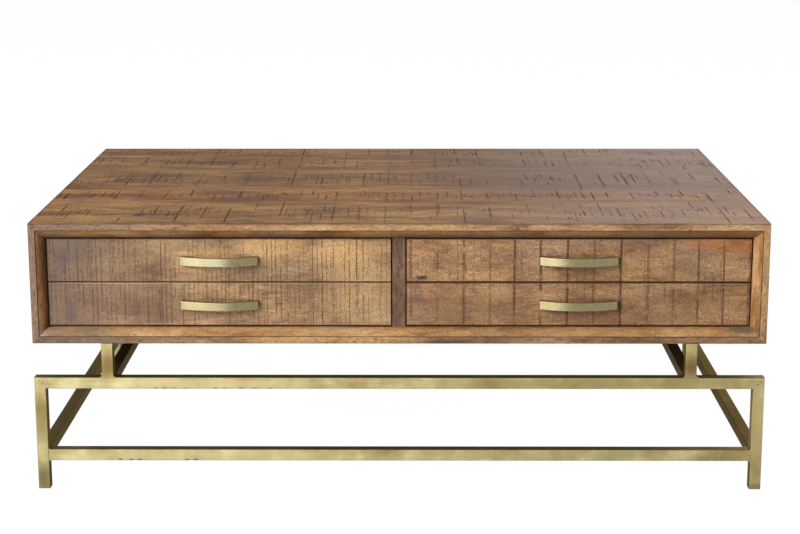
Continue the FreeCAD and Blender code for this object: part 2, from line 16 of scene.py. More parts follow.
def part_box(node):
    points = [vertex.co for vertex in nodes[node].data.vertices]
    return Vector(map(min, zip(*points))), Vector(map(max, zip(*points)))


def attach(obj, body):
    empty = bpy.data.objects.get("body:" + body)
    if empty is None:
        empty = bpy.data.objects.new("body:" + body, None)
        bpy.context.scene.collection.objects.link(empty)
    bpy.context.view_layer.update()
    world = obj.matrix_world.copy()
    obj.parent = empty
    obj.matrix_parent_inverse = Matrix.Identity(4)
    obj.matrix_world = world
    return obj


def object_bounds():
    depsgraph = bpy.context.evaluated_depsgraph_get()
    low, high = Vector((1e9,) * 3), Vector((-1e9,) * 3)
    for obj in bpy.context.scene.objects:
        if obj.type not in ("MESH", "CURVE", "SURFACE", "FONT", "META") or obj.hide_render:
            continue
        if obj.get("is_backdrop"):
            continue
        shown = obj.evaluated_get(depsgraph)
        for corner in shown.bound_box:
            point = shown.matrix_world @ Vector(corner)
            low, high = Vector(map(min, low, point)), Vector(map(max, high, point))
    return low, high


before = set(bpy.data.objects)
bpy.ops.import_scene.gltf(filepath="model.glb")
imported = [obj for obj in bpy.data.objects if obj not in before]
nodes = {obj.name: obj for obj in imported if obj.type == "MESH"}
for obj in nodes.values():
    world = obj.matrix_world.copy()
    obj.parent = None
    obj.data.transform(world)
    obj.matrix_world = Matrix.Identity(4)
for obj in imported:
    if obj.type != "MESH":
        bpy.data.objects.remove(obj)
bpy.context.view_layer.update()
bpy.context.scene.view_settings.view_transform = "Standard"

# %% [markdown]
# ## Tools for the finishes
#
# A finish is a tree of shader nodes. Each tree could be clicked together by hand, but a script that adds
# one node at a time is easier to read again later. One function turns a colour from the web's notation to
# the linear values that the renderer needs, and one adds a node, fills its inputs and hands back an
# output to link on.

# %% Colours and nodes
MM = 0.001


def shade(code):
    """Linear RGBA of an sRGB colour written as #RRGGBB."""
    parts = [int(code[start:start + 2], 16) / 255 for start in (1, 3, 5)]
    return (*[p / 12.92 if p <= 0.04045 else ((p + 0.055) / 1.055) ** 2.4 for p in parts], 1)


def toned(places, codes):
    """Colour stops, from places between 0 and 1 and as many colours in one text."""
    return list(zip(places, codes.split()))


def add(tree, kind, inputs=None, out=0, stops=None, stepped=False, **settings):
    """Add a node, set it up, fill its inputs with links or values, and return one of its outputs."""
    node = tree.nodes.new(kind)
    for name, value in settings.items():
        setattr(node, name, value)
    for key, value in (inputs or {}).items():
        if isinstance(value, bpy.types.NodeSocket):
            tree.links.new(value, node.inputs[key])
        else:
            node.inputs[key].default_value = value
    if stops:
        ramp = node.color_ramp
        ramp.interpolation = "CONSTANT" if stepped else "LINEAR"
        ramp.elements.remove(ramp.elements[1])
        ramp.elements[0].position = stops[0][0]
        ramp.elements[0].color = shade(stops[0][1])
        for position, code in stops[1:]:
            ramp.elements.new(position).color = shade(code)
    return node.outputs[out]


print("white is", shade("#FFFFFF"), "and mid grey", shade("#808080"))


# %% Materials
def new_finish(name):
    """An empty material and its node tree."""
    material = bpy.data.materials.new(name)
    material.use_nodes = True
    material.node_tree.nodes.clear()
    return material, material.node_tree


def add_output(tree, surface):
    """Link a shader to the material's output."""
    output = tree.nodes.new("ShaderNodeOutputMaterial")
    tree.links.new(surface, output.inputs["Surface"])


def dress(names, material):
    """Give CAD nodes a finish."""
    for name in names:
        mesh = nodes[name].data
        mesh.materials.clear()
        mesh.materials.append(material)
    print(material.name, "on", len(names), "nodes")


print(len(bpy.data.materials), "plain materials to replace")

# %% [markdown]
# ## Grain
#
# Mango has a broad brown figure, short streaks along the grain, dark pores and pale flecks. A picture of
# a board could be laid on, but it would repeat, and it would stretch at the edges. Noise does neither.
# Each layer is noise whose cells are drawn out along the grain, so one loop makes them all from two sizes
# in millimetres. Straight streaks look printed, so a slow noise first pushes the grain sideways. The
# fourth coordinate of the noise is the number of the board, which gives each board a grain of its own.

# %% Grain layers
# Each layer has the length and width of its cells in mm, and its detail. Real pores are about 0.3 mm wide
# and flecks 1 mm. Both are drawn wider here, so that they show.
TOP_GRAIN = {
    "figure": (200, 42, 4), "streak": (42, 7, 4), "pore": (10, 3.2, 1), "fleck": (6, 3, 2),
    "patch": (330, 120, 2),
}
FRONT_GRAIN = {
    "figure": (90, 34, 3), "streak": (24, 4.5, 4), "pore": (6, 1.6, 1), "fleck": (2.2, 1.3, 1),
    "patch": (170, 80, 2),
}
GRAIN_ROUGHNESS = 0.6
SWAY_MM, SWAY_CELL_MM, SWAY_DETAIL = 34, 130, 2


def grain_layers(tree, place, along, board, grain):
    """Noise for each layer of the grain, from 0 to 1, drawn out along one axis."""
    push = [0 if axis == along else SWAY_MM * MM for axis in "XYZ"]
    slow = add(
        tree, "ShaderNodeTexNoise",
        {"Vector": place, "W": board, "Scale": 1 / MM / SWAY_CELL_MM, "Detail": SWAY_DETAIL},
        out="Color", noise_dimensions="4D")
    swayed = add(tree, "ShaderNodeVectorMath", {0: slow, 1: push, 2: place}, operation="MULTIPLY_ADD")
    layers = {}
    for name, (length, width, detail) in grain.items():
        cells = [1 / MM / (length if axis == along else width) for axis in "XYZ"]
        spread = add(tree, "ShaderNodeMapping", {"Vector": swayed, "Scale": cells})
        layers[name] = add(
            tree, "ShaderNodeTexNoise",
            {"Vector": spread, "W": board, "Scale": 1, "Detail": detail, "Roughness": GRAIN_ROUGHNESS},
            noise_dimensions="4D")
    return layers


print("grain cells on the top in mm:", {name: size[:2] for name, size in TOP_GRAIN.items()})

# %% [markdown]
# ## Saw marks
#
# A coarse saw leaves dark ticks square across the grain, one for each bite, and stain collects in them.
# They could be painted on a picture, but a rule does it better. The distance to the nearest whole step of
# an even pitch gives a line. Random numbers, drawn once for each bite, say whether it shows, where across
# the board it lies, how long it is and how deep. A slow noise gathers the ticks in clusters, where the
# planer didn't reach.

# %% Saw marks
DRIFT_MM, WOBBLE_MM, WOBBLE_CELL_MM, MARK_DETAIL = 150, 2.4, 30, 2
# The feed of the saw drifts by a share of a step, and the first bite lies a little off the middle
DRIFT_STEPS, FIRST_STEP = 0.4, 0.3
CHANCE_SEED, SIZE_SEED = 0.5, 7.5
# Noise stays near a half, mostly between these two
NOISE_LOW, NOISE_HIGH = 0.38, 0.62
# Where the middles of ticks lie across a board, and how far inside and past its end a tick fades
MIDDLE_LOW, MIDDLE_HIGH = 0.3, 0.7
FADE_INSIDE, FADE_PAST = 0.08, 0.05
# The thinnest and the faintest ticks as shares of the full ones, and the full dark share of a line
THIN_SHARE, FAINT_SHARE, CORE_SHARE = 0.5, 0.5, 0.15
# A line breaks where noise falls through this range, and this much of it is left there
BREAK_HIGH, BREAK_LOW, BREAK_LEFT = 0.5, 0.36, 0.1


def saw_marks(tree, place, board, along, lane, seed, pitch, width, cover, cluster, lengths, dash, strength):
    """Ticks across the grain, where lane goes from 0 to 1 across the board.

    Lengths are half the shortest and half the longest tick, as shares of the lane.
    """
    run = add(tree, "ShaderNodeSeparateXYZ", {"Vector": place}, out=along)
    slow = [1 / MM / DRIFT_MM if axis == along else 0 for axis in "XYZ"]
    spread = add(tree, "ShaderNodeMapping", {"Vector": place, "Scale": slow, "Location": (seed, seed, seed)})
    drift = add(
        tree, "ShaderNodeTexNoise", {"Vector": spread, "W": board, "Scale": 1, "Detail": MARK_DETAIL},
        noise_dimensions="4D")
    wobble = add(
        tree, "ShaderNodeTexNoise",
        {"Vector": place, "W": seed, "Scale": 1 / MM / WOBBLE_CELL_MM, "Detail": MARK_DETAIL},
        noise_dimensions="4D")
    even = add(tree, "ShaderNodeMath", {0: run, 1: 1 / MM / pitch, 2: FIRST_STEP}, operation="MULTIPLY_ADD")
    uneven = add(tree, "ShaderNodeMath", {0: drift, 1: DRIFT_STEPS, 2: even}, operation="MULTIPLY_ADD")
    step = add(tree, "ShaderNodeMath", {0: wobble, 1: WOBBLE_MM / pitch, 2: uneven}, operation="MULTIPLY_ADD")
    bite = add(tree, "ShaderNodeMath", {0: step}, operation="ROUND")
    distance = add(tree, "ShaderNodeMath", {0: step, 1: 0.5}, operation="PINGPONG")

    # Each bite has numbers of its own
    key = add(tree, "ShaderNodeCombineXYZ", {"X": bite, "Y": board, "Z": seed})
    drawn = []
    for number in (CHANCE_SEED, SIZE_SEED):
        noise = add(
            tree, "ShaderNodeTexWhiteNoise", {"Vector": key, "W": number}, out="Color", noise_dimensions="4D")
        drawn.append(add(tree, "ShaderNodeSeparateXYZ", {"Vector": noise}).node.outputs)
    chance, size = drawn

    patch = add(
        tree, "ShaderNodeTexNoise",
        {"Vector": place, "W": board, "Scale": 1 / MM / cluster, "Detail": 1}, noise_dimensions="4D")
    share = add(
        tree, "ShaderNodeMapRange",
        {"Value": patch, "From Min": NOISE_LOW, "From Max": NOISE_HIGH, "To Min": 2 * cover - 1,
         "To Max": 2 * cover})
    shown = add(tree, "ShaderNodeMath", {0: chance["X"], 1: share}, operation="LESS_THAN")
    tick = {}
    for name, number, least, most in (
            ("middle", chance["Y"], MIDDLE_LOW, MIDDLE_HIGH), ("half", chance["Z"], *lengths),
            ("width", size["X"], THIN_SHARE * width / pitch, width / pitch),
            ("depth", size["Y"], FAINT_SHARE * strength, strength)):
        tick[name] = add(
            tree, "ShaderNodeMapRange",
            {"Value": number, "From Min": 0, "From Max": 1, "To Min": least, "To Max": most})

    # A tick lies round its own middle, ends softly, and breaks here and there
    off = add(tree, "ShaderNodeMath", {0: lane, 1: tick["middle"]}, operation="SUBTRACT")
    off = add(tree, "ShaderNodeMath", {0: off}, operation="ABSOLUTE")
    past = add(tree, "ShaderNodeMath", {0: off, 1: tick["half"]}, operation="SUBTRACT")
    within = add(
        tree, "ShaderNodeMapRange",
        {"Value": past, "From Min": FADE_PAST, "From Max": -FADE_INSIDE, "To Min": 0, "To Max": 1})
    line = add(
        tree, "ShaderNodeMapRange",
        {"Value": distance, "From Min": tick["width"], "From Max": CORE_SHARE * width / pitch, "To Min": 0,
         "To Max": 1},
        interpolation_type="SMOOTHSTEP")
    breaks = add(
        tree, "ShaderNodeTexNoise",
        {"Vector": place, "W": seed, "Scale": 1 / MM / dash, "Detail": MARK_DETAIL}, noise_dimensions="4D")
    whole = add(
        tree, "ShaderNodeMapRange",
        {"Value": breaks, "From Min": BREAK_LOW, "From Max": BREAK_HIGH, "To Min": BREAK_LEFT, "To Max": 1})
    mark = line
    for factor in (shown, within, whole, tick["depth"]):
        mark = add(tree, "ShaderNodeMath", {0: mark, 1: factor}, operation="MULTIPLY")
    return mark


print("the saw's feed drifts over", DRIFT_MM, "mm")

# %% [markdown]
# ## Spots
#
# Knots in the wood, smudges of stain and pits in the welds are single spots at known places. They could
# be painted by hand, but then each piece would need a picture of its own. Here a spot is the distance
# from a point, measured in its own radii, with a noisy edge so that no two look alike.

# %% Spots and washes of colour
SPOT_SHIFT, SPOT_CORE, SPOT_DETAIL = 0.6, 0.3, 3


def spots(tree, place, points, radii, wander):
    """A mask with a soft spot at each point, where wander is the size of its edge's noise. All are in mm."""
    noise = add(
        tree, "ShaderNodeTexNoise", {"Vector": place, "Scale": 1 / MM / wander, "Detail": SPOT_DETAIL},
        out="Color")
    total = None
    for point in points:
        # The noise moves a place by half its shift on average, which is taken off again here
        offset = [-p / r - SPOT_SHIFT / 2 for p, r in zip(point, radii)]
        near = add(
            tree, "ShaderNodeMapping",
            {"Vector": place, "Scale": [1 / MM / r for r in radii], "Location": offset})
        loose = add(
            tree, "ShaderNodeVectorMath", {0: noise, 1: [SPOT_SHIFT] * 3, 2: near}, operation="MULTIPLY_ADD")
        length = add(tree, "ShaderNodeVectorMath", {0: loose}, out="Value", operation="LENGTH")
        spot = add(
            tree, "ShaderNodeMapRange",
            {"Value": length, "From Min": 1, "From Max": SPOT_CORE, "To Min": 0, "To Max": 1},
            interpolation_type="SMOOTHSTEP")
        total = spot if total is None else add(
            tree, "ShaderNodeMath", {0: total, 1: spot}, operation="MAXIMUM")
    return total


def wash(tree, place, colour, washes, wander):
    """Lay spots of other colours over a colour. Each has its points, radii, colour and largest share."""
    for points, radii, code, most in washes:
        spot = spots(tree, place, points, radii, wander)
        amount = add(tree, "ShaderNodeMath", {0: spot, 1: most}, operation="MULTIPLY")
        colour = add(
            tree, "ShaderNodeMix", {"Factor": amount, 6: colour, 7: shade(code)}, out=2, data_type="RGBA")
    return colour


print("a spot is full within", SPOT_CORE, "of its radius")

# %% [markdown]
# ## Planks
#
# The top, the bottom and the sides are glued up from planks, side by side from the front to the back.
# They could be cut apart as meshes, but the joints are flush and only the grain changes there, so the
# material does it. Every plank needs a number, for its grain, and a place across its width, because the
# saw marks stop at each joint. Both come from the depth alone, so the sides carry on from the top over
# the mitred corners.

# %% Planks of the case
CASE_LOW, CASE_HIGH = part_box("top_panel")
CASE_DEPTH = CASE_HIGH.y - CASE_LOW.y
PLANK_MM = (187, 113, 199, 144)
PLANK_ENDS = [sum(PLANK_MM[:count]) * MM / CASE_DEPTH for count in range(1, 1 + len(PLANK_MM))]
# The numbers of two neighbours lie so far apart that their grains have nothing in common
PLANK_STEP = 3.7


def planks(tree, share, board):
    """The number of the plank at this share of the depth, and the place across it from 0 to 1."""
    lane = add(tree, "ShaderNodeMath", {0: share, 1: PLANK_ENDS[0]}, operation="DIVIDE")
    for end, after in zip(PLANK_ENDS, [*PLANK_ENDS[1:], 1]):
        past = add(tree, "ShaderNodeMath", {0: share, 1: end}, operation="GREATER_THAN")
        board = add(tree, "ShaderNodeMath", {0: past, 1: PLANK_STEP, 2: board}, operation="MULTIPLY_ADD")
        local = add(
            tree, "ShaderNodeMapRange",
            {"Value": share, "From Min": end, "From Max": after, "To Min": 0, "To Max": 1}, clamp=False)
        lane = add(tree, "ShaderNodeMix", {"Factor": past, 2: lane, 3: local})
    return board, lane


print("planks end at", [round(end, 3) for end in PLANK_ENDS], "of the depth")

# %% [markdown]
# ## Darker edges and ends
#
# The edges are darker. Along the rims of the drawer fronts stain gathers, where a cloth drops it, and the
# darkening there is also painted shade of the gaps between them. Along the eased edges round the top the
# colour is darker. The left end of the front has greyed. Painting it on would tie it to one mesh. It
# follows the place on the table instead, so it is measured from the corners.

# %% Weathered left end
WEATHER_FROM, WEATHER_TO, WEATHER_WANDER = -280 * MM, -540 * MM, 90 * MM


def weather_left(tree, run, patch, most):
    """The case's left end is greyer than the rest, up to this share."""
    wander = add(tree, "ShaderNodeMath", {0: patch, 1: 2 * WEATHER_WANDER, 2: run}, operation="MULTIPLY_ADD")
    # Noise averages a half, so half of its reach is taken off the two ends
    return add(
        tree, "ShaderNodeMapRange",
        {"Value": wander, "From Min": WEATHER_FROM + WEATHER_WANDER, "From Max": WEATHER_TO + WEATHER_WANDER,
         "To Min": 0, "To Max": most},
        interpolation_type="SMOOTHSTEP")


print("the left end is weathered from", WEATHER_FROM, "m")

# %% Stain and painted shade along the rims of the fronts
# The darkening reaches in from the rim between two depths in mm, as the streaks of the grain let it
RIM_REACH_MM, RIM_FULL_MM, RIM_STREAKS = (0.6, 3.2), 0.2, (0.35, 0.65)


def rim_stain_and_gap_shade(tree, place, streak, most, middle, half_width, seam, half_gap, half_height):
    """Stain, and painted shade of the gaps around them, along the eased edges of two drawer fronts, one above
    the other, up to this share.
    """
    parts = add(tree, "ShaderNodeSeparateXYZ", {"Vector": place}).node.outputs
    sideways = add(tree, "ShaderNodeMath", {0: parts["X"], 1: middle}, operation="SUBTRACT")
    out = add(tree, "ShaderNodeMath", {0: sideways}, operation="ABSOLUTE")
    to_end = add(tree, "ShaderNodeMath", {0: half_width, 1: out}, operation="SUBTRACT")
    upwards = add(tree, "ShaderNodeMath", {0: parts["Z"], 1: seam}, operation="SUBTRACT")
    off = add(tree, "ShaderNodeMath", {0: upwards}, operation="ABSOLUTE")
    to_seam = add(tree, "ShaderNodeMath", {0: off, 1: half_gap}, operation="SUBTRACT")
    to_edge = add(tree, "ShaderNodeMath", {0: half_height, 1: off}, operation="SUBTRACT")
    inner = add(tree, "ShaderNodeMath", {0: to_seam, 1: to_edge}, operation="MINIMUM")
    nearest = add(tree, "ShaderNodeMath", {0: inner, 1: to_end}, operation="MINIMUM")
    reach = add(
        tree, "ShaderNodeMapRange",
        {"Value": streak, "From Min": RIM_STREAKS[0], "From Max": RIM_STREAKS[1],
         "To Min": RIM_REACH_MM[0] * MM, "To Max": RIM_REACH_MM[1] * MM})
    return add(
        tree, "ShaderNodeMapRange",
        {"Value": nearest, "From Min": reach, "From Max": RIM_FULL_MM * MM, "To Min": 0, "To Max": most},
        interpolation_type="SMOOTHSTEP")


print("stain reaches", RIM_REACH_MM, "mm in from the rims")

# %% Darker colour along the eased edges of the top
EDGE_EASE = 1.5 * MM
# The darkening grows from none to its share between these distances, counted in eased edges
ARRIS_SHARE, ARRIS_DEPTH, ARRIS_WIDTH = 0.45, (1.6, 0.3), (3, 0.7)


def arris_darkening(tree, place):
    """Darker colour along the eased edges round the top."""
    away = None
    for axis, ends in (("X", (CASE_LOW.x, CASE_HIGH.x)), ("Y", (CASE_LOW.y, CASE_HIGH.y))):
        run = add(tree, "ShaderNodeSeparateXYZ", {"Vector": place}, out=axis)
        for end in ends:
            gap = add(tree, "ShaderNodeMath", {0: run, 1: end}, operation="SUBTRACT")
            gap = add(tree, "ShaderNodeMath", {0: gap}, operation="ABSOLUTE")
            away = gap if away is None else add(
                tree, "ShaderNodeMath", {0: away, 1: gap}, operation="MINIMUM")
    height = add(tree, "ShaderNodeSeparateXYZ", {"Vector": place}, out="Z")
    top = add(
        tree, "ShaderNodeMapRange",
        {"Value": height, "From Min": CASE_HIGH.z - ARRIS_DEPTH[0] * EDGE_EASE,
         "From Max": CASE_HIGH.z - ARRIS_DEPTH[1] * EDGE_EASE, "To Min": 0, "To Max": ARRIS_SHARE})
    near = add(
        tree, "ShaderNodeMapRange",
        {"Value": away, "From Min": ARRIS_WIDTH[0] * EDGE_EASE, "From Max": ARRIS_WIDTH[1] * EDGE_EASE,
         "To Min": 0, "To Max": 1})
    return add(tree, "ShaderNodeMath", {0: top, 1: near}, operation="MULTIPLY")


print("edges eased over", EDGE_EASE, "m")

# %% [markdown]
# ## Sawn mango
#
# All the wood that shows is sawn mango with a brown stain and a satin lacquer: to the eye, a dull gloss
# over a lively brown, broken by dark cuts. Its pieces differ in tone, in the way of the grain and in the
# marks of the saw. Each could have a tree of its own, but one function with these choices as its inputs
# keeps them alike where they should be. It works from the wood outwards: tone, weathering, flecks, saw
# marks, pores, knots and smudges. Some of its washes and smudges are painted shade, sheen or highlights.

# %% Tone of the wood
STREAK_SHARE = 0.4


def wood_colour(tree, share, layers, shades, tints, face, edge_shades):
    """The wood's own colour, tinted plank by plank, with other shades on a panel's front edge."""
    tone = add(tree, "ShaderNodeMix", {"Factor": STREAK_SHARE, 2: layers["figure"], 3: layers["streak"]})
    colour = add(tree, "ShaderNodeValToRGB", {"Fac": tone}, stops=shades)
    if tints:
        stops = list(zip([0, *PLANK_ENDS], tints))
        tint = add(tree, "ShaderNodeValToRGB", {"Fac": share}, stops=stops, stepped=True)
        colour = add(
            tree, "ShaderNodeMix", {"Factor": 1, 6: colour, 7: tint}, out=2, data_type="RGBA",
            blend_type="MULTIPLY")
    if edge_shades:
        edge = add(tree, "ShaderNodeValToRGB", {"Fac": tone}, stops=edge_shades)
        colour = add(tree, "ShaderNodeMix", {"Factor": face, 6: colour, 7: edge}, out=2, data_type="RGBA")
    return colour


print("streaks have", STREAK_SHARE, "of the tone")

# %% Cuts and stained edges
SAW_SEED, SAW_SEED_STEP = 0.7, 5.3


def stained_cuts(tree, place, board, along, lane, saws, face, streak, rim):
    """The marks of all the saws, with stain and painted shade along the fronts' rims and darker colour along
    the top's eased edges.
    """
    marks = None
    for index, saw in enumerate(saws):
        line = saw_marks(tree, place, board, along, lane, SAW_SEED_STEP * index + SAW_SEED, *saw)
        marks = line if marks is None else add(
            tree, "ShaderNodeMath", {0: marks, 1: line}, operation="MAXIMUM")
    if face is not None:
        # A panel's front edge was planed after it was sawn, so it has no saw marks
        marks = add(tree, "ShaderNodeMath", {0: marks, 1: face}, operation="SUBTRACT", use_clamp=True)
        marks = add(tree, "ShaderNodeMath", {0: marks, 1: arris_darkening(tree, place)}, operation="MAXIMUM")
    if rim:
        rims = rim_stain_and_gap_shade(tree, place, streak, *rim)
        marks = add(tree, "ShaderNodeMath", {0: marks, 1: rims}, operation="MAXIMUM")
    return marks


print("the first saw has the number", SAW_SEED)

# %% Sawn mango
WASH_WANDER, SMUDGE_WANDER = 60, 9
# The colour of the front edge reaches over this share of the easing
FACE_SHARE = 0.4
# Layers of the grain take effect between two values of their noise
GREY_FROM, GREY_TO = 0.46, 0.66
DARK_FLECKS, PALE_FLECKS = (0.45, 0.3), (0.53, 0.68)
PORES_FROM, PORES_TO, PORE_STAIN = 0.55, 0.75, 0.6
GLOSS_FROM, GLOSS_TO = 0.3, 0.7
# Heights are shares of the relief, in which a saw cut is 1 deep
PORE_DEPTH, FLECK_HEIGHT, RELIEF_MM = 0.5, 0.7, 0.5
# A saw cut is rougher than the wood beside it and mirrors nothing
CUT_ROUGHNESS = 0.3
LACQUER_IOR = 1.5


def sawn_mango(
        name, along, shades, saws, grain=TOP_GRAIN, edge_shades=None, tints=None, lanes=None, board=0.0,
        weather="#85746A", weathered=0.35, kerf="#33201A", washes=(), smudges_and_highlights=(), rim=None, left_grey=0.0,
        roughness=(0.5, 0.66), specular=0.3, relief=0.6, speckle=(0.7, 1.35)):
    """Stained mango with its grain along one axis.

    Lanes are an axis and the two ends that saw marks lie between.
    """
    material, tree = new_finish(name)
    place = add(tree, "ShaderNodeTexCoord", out="Object")
    where = add(tree, "ShaderNodeSeparateXYZ", {"Vector": place}).node.outputs
    axis, start, stop = lanes or ("Y", CASE_LOW.y, CASE_HIGH.y)
    share = add(
        tree, "ShaderNodeMapRange",
        {"Value": where[axis], "From Min": start, "From Max": stop, "To Min": 0, "To Max": 1})
    lane, face = share, None
    if tints:
        board, lane = planks(tree, share, board)
    if edge_shades:
        front = CASE_LOW.y + FACE_SHARE * EDGE_EASE
        face = add(tree, "ShaderNodeMath", {0: where["Y"], 1: front}, operation="LESS_THAN")
    layers = grain_layers(tree, place, along, board, grain)
    colour = wood_colour(tree, share, layers, shades, tints, face, edge_shades)

    grey = add(
        tree, "ShaderNodeMapRange",
        {"Value": layers["patch"], "From Min": GREY_FROM, "From Max": GREY_TO, "To Min": 0,
         "To Max": weathered})
    if left_grey:
        left = weather_left(tree, where["X"], layers["patch"], left_grey)
        if face is not None:
            left = add(tree, "ShaderNodeMath", {0: left, 1: face}, operation="MULTIPLY")
        grey = add(tree, "ShaderNodeMath", {0: grey, 1: left}, operation="MAXIMUM")
    colour = add(
        tree, "ShaderNodeMix", {"Factor": grey, 6: colour, 7: shade(weather)}, out=2, data_type="RGBA")
    colour = wash(tree, place, colour, washes, WASH_WANDER)
    for (first, last), most in zip((DARK_FLECKS, PALE_FLECKS), speckle):
        flecks = add(
            tree, "ShaderNodeMapRange",
            {"Value": layers["fleck"], "From Min": first, "From Max": last, "To Min": 1, "To Max": most})
        colour = add(tree, "ShaderNodeVectorMath", {0: colour, 1: flecks}, operation="MULTIPLY")
    marks = stained_cuts(tree, place, board, along, lane, saws, face, layers["streak"], rim)
    pores = add(
        tree, "ShaderNodeMapRange",
        {"Value": layers["pore"], "From Min": PORES_FROM, "From Max": PORES_TO, "To Min": 0,
         "To Max": PORE_STAIN})
    for amount in (marks, pores):
        colour = add(
            tree, "ShaderNodeMix", {"Factor": amount, 6: colour, 7: shade(kerf)}, out=2, data_type="RGBA")
    colour = wash(tree, place, colour, smudges_and_highlights, SMUDGE_WANDER)

    dents = add(tree, "ShaderNodeMath", {0: pores, 1: PORE_DEPTH, 2: marks}, operation="MULTIPLY_ADD")
    raised = add(tree, "ShaderNodeMath", {0: layers["fleck"], 1: FLECK_HEIGHT}, operation="MULTIPLY")
    height = add(tree, "ShaderNodeMath", {0: raised, 1: dents}, operation="SUBTRACT")
    bump = add(tree, "ShaderNodeBump", {"Strength": relief, "Distance": RELIEF_MM * MM, "Height": height})
    rough = add(
        tree, "ShaderNodeMapRange",
        {"Value": layers["streak"], "From Min": GLOSS_FROM, "From Max": GLOSS_TO, "To Min": roughness[0],
         "To Max": roughness[1]})
    rough = add(
        tree, "ShaderNodeMath", {0: marks, 1: CUT_ROUGHNESS, 2: rough}, operation="MULTIPLY_ADD",
        use_clamp=True)
    surface = add(
        tree, "ShaderNodeBsdfPrincipled",
        {"Base Color": colour, "Roughness": rough, "IOR": LACQUER_IOR, "Specular IOR Level": specular,
         "Normal": bump})
    add_output(tree, surface)
    return material


print("the relief is", RELIEF_MM, "mm deep")

# %% [markdown]
# ## Case
#
# The top is five planks side by side, which differ in tone. The front edge of every panel is paler than
# its face, as rubbed edges are, and at the left end it has greyed. The edge could be a strip of its own,
# but it is the same board, so the panel's material changes where the edge begins.

# %% Shades and marks of the case
FRONT_Y, TOP_Z = round(CASE_LOW.y / MM, 1), round(CASE_HIGH.z / MM, 1)
CASE_TONES = (0.38, 0.45, 0.50, 0.55, 0.62)
TOP_SHADES = toned(CASE_TONES, "#5C3D20 #7A5432 #926B41 #A67D4D #BF9A68")
TOP_EDGE_SHADES = toned(CASE_TONES, "#7F5C42 #9A7553 #B08B62 #BE9C72 #CFB28A")
LOW_EDGE_SHADES = toned(CASE_TONES, "#674A36 #806047 #927155 #A28263 #B6997A")
SIDE_EDGE_SHADES = toned(CASE_TONES, "#83603F #A07A55 #B58F66 #C3A077 #D2B68F")
TOP_TINTS = ["#FFFFFF", "#F8E4D2", "#E4E2E1", "#DEDAD7", "#E4E2E2"]
# Each saw has its pitch and a line's width in mm, the share of its bites that show, a cluster's length in
# mm, half the lengths of ticks as shares of a board, a dash's length in mm and its strength
TOP_SAWS = [
    (43, 2.7, 0.75, 170, (0.18, 0.42), 60, 1.0), (15, 2.3, 0.5, 120, (0.1, 0.3), 50, 0.95),
    (8, 2.1, 0.42, 70, (0.05, 0.18), 40, 0.95),
]
# Each wash or smudge has its points and radii in mm, its colour and its largest share
TOP_SMUDGES = [
    ([(-516, 19, TOP_Z), (-430, -300, TOP_Z)], (15, 22, 7), "#2F2A22", 0.9),
    ([(-463, 19, TOP_Z), (-356, 200, TOP_Z), (-310, -100, TOP_Z)], (80, 36, 9), "#472C22", 0.6),
]
TOP_WASHES_SHADE_AND_SHEEN = [
    ([(-60, FRONT_Y, 438), (70, FRONT_Y, 438)], (150, 5, 20), "#CDA878", 0.45),
    # Painted shade: the right part of the top is darker, as if less light reached it
    ([(400, 90, TOP_Z)], (520, 440, 20), "#63493E", 0.68),
    # Painted sheen: a pale greyish pink over the right front of the top
    ([(430, -290, TOP_Z)], (420, 130, 20), "#8A6C60", 0.5),
]
SIDE_WASHES = [([(588, FRONT_Y, 300), (588, FRONT_Y, 400)], (20, 5, 70), "#D3AA7C", 0.4)]
LOW_WASHES = [([(-170, FRONT_Y, 262), (-50, FRONT_Y, 262)], (130, 5, 20), "#CDA272", 0.75)]
LOW_SMUDGES = [([(105, FRONT_Y, 254), (70, FRONT_Y, 253)], (34, 9, 5), "#4E4736", 0.7)]
print("the front edges lie at", FRONT_Y, "mm and the top at", TOP_Z, "mm")

# %% Case panels
case_finish = {"tints": TOP_TINTS, "roughness": (0.58, 0.72), "specular": 0.13, "left_grey": 0.85}
mango_top = sawn_mango(
    "sawn_mango_top", "X", TOP_SHADES, TOP_SAWS, edge_shades=TOP_EDGE_SHADES, weather="#7A6557",
    weathered=0.2, kerf="#331D14", washes=TOP_WASHES_SHADE_AND_SHEEN, smudges_and_highlights=TOP_SMUDGES, **case_finish)
mango_bottom = sawn_mango(
    "sawn_mango_bottom", "X", TOP_SHADES, TOP_SAWS, edge_shades=LOW_EDGE_SHADES, board=40.0,
    weather="#6A5E54", washes=LOW_WASHES, smudges_and_highlights=LOW_SMUDGES, **case_finish)
mango_side = sawn_mango(
    "sawn_mango_side", "Z", TOP_SHADES, TOP_SAWS, edge_shades=SIDE_EDGE_SHADES, board=80.0,
    weather="#7E6B5E", washes=SIDE_WASHES, **case_finish)
dress(["top_panel"], mango_top)
dress(["bottom_panel"], mango_bottom)
dress(["left_side_panel", "right_side_panel"], mango_side)

# %% Beads and divider
FRONT_TONES = (0.34, 0.43, 0.50, 0.57, 0.66)
BEAD_SHADES = toned(FRONT_TONES, "#7A5533 #986E43 #AC8458 #B99266 #C9A67B")
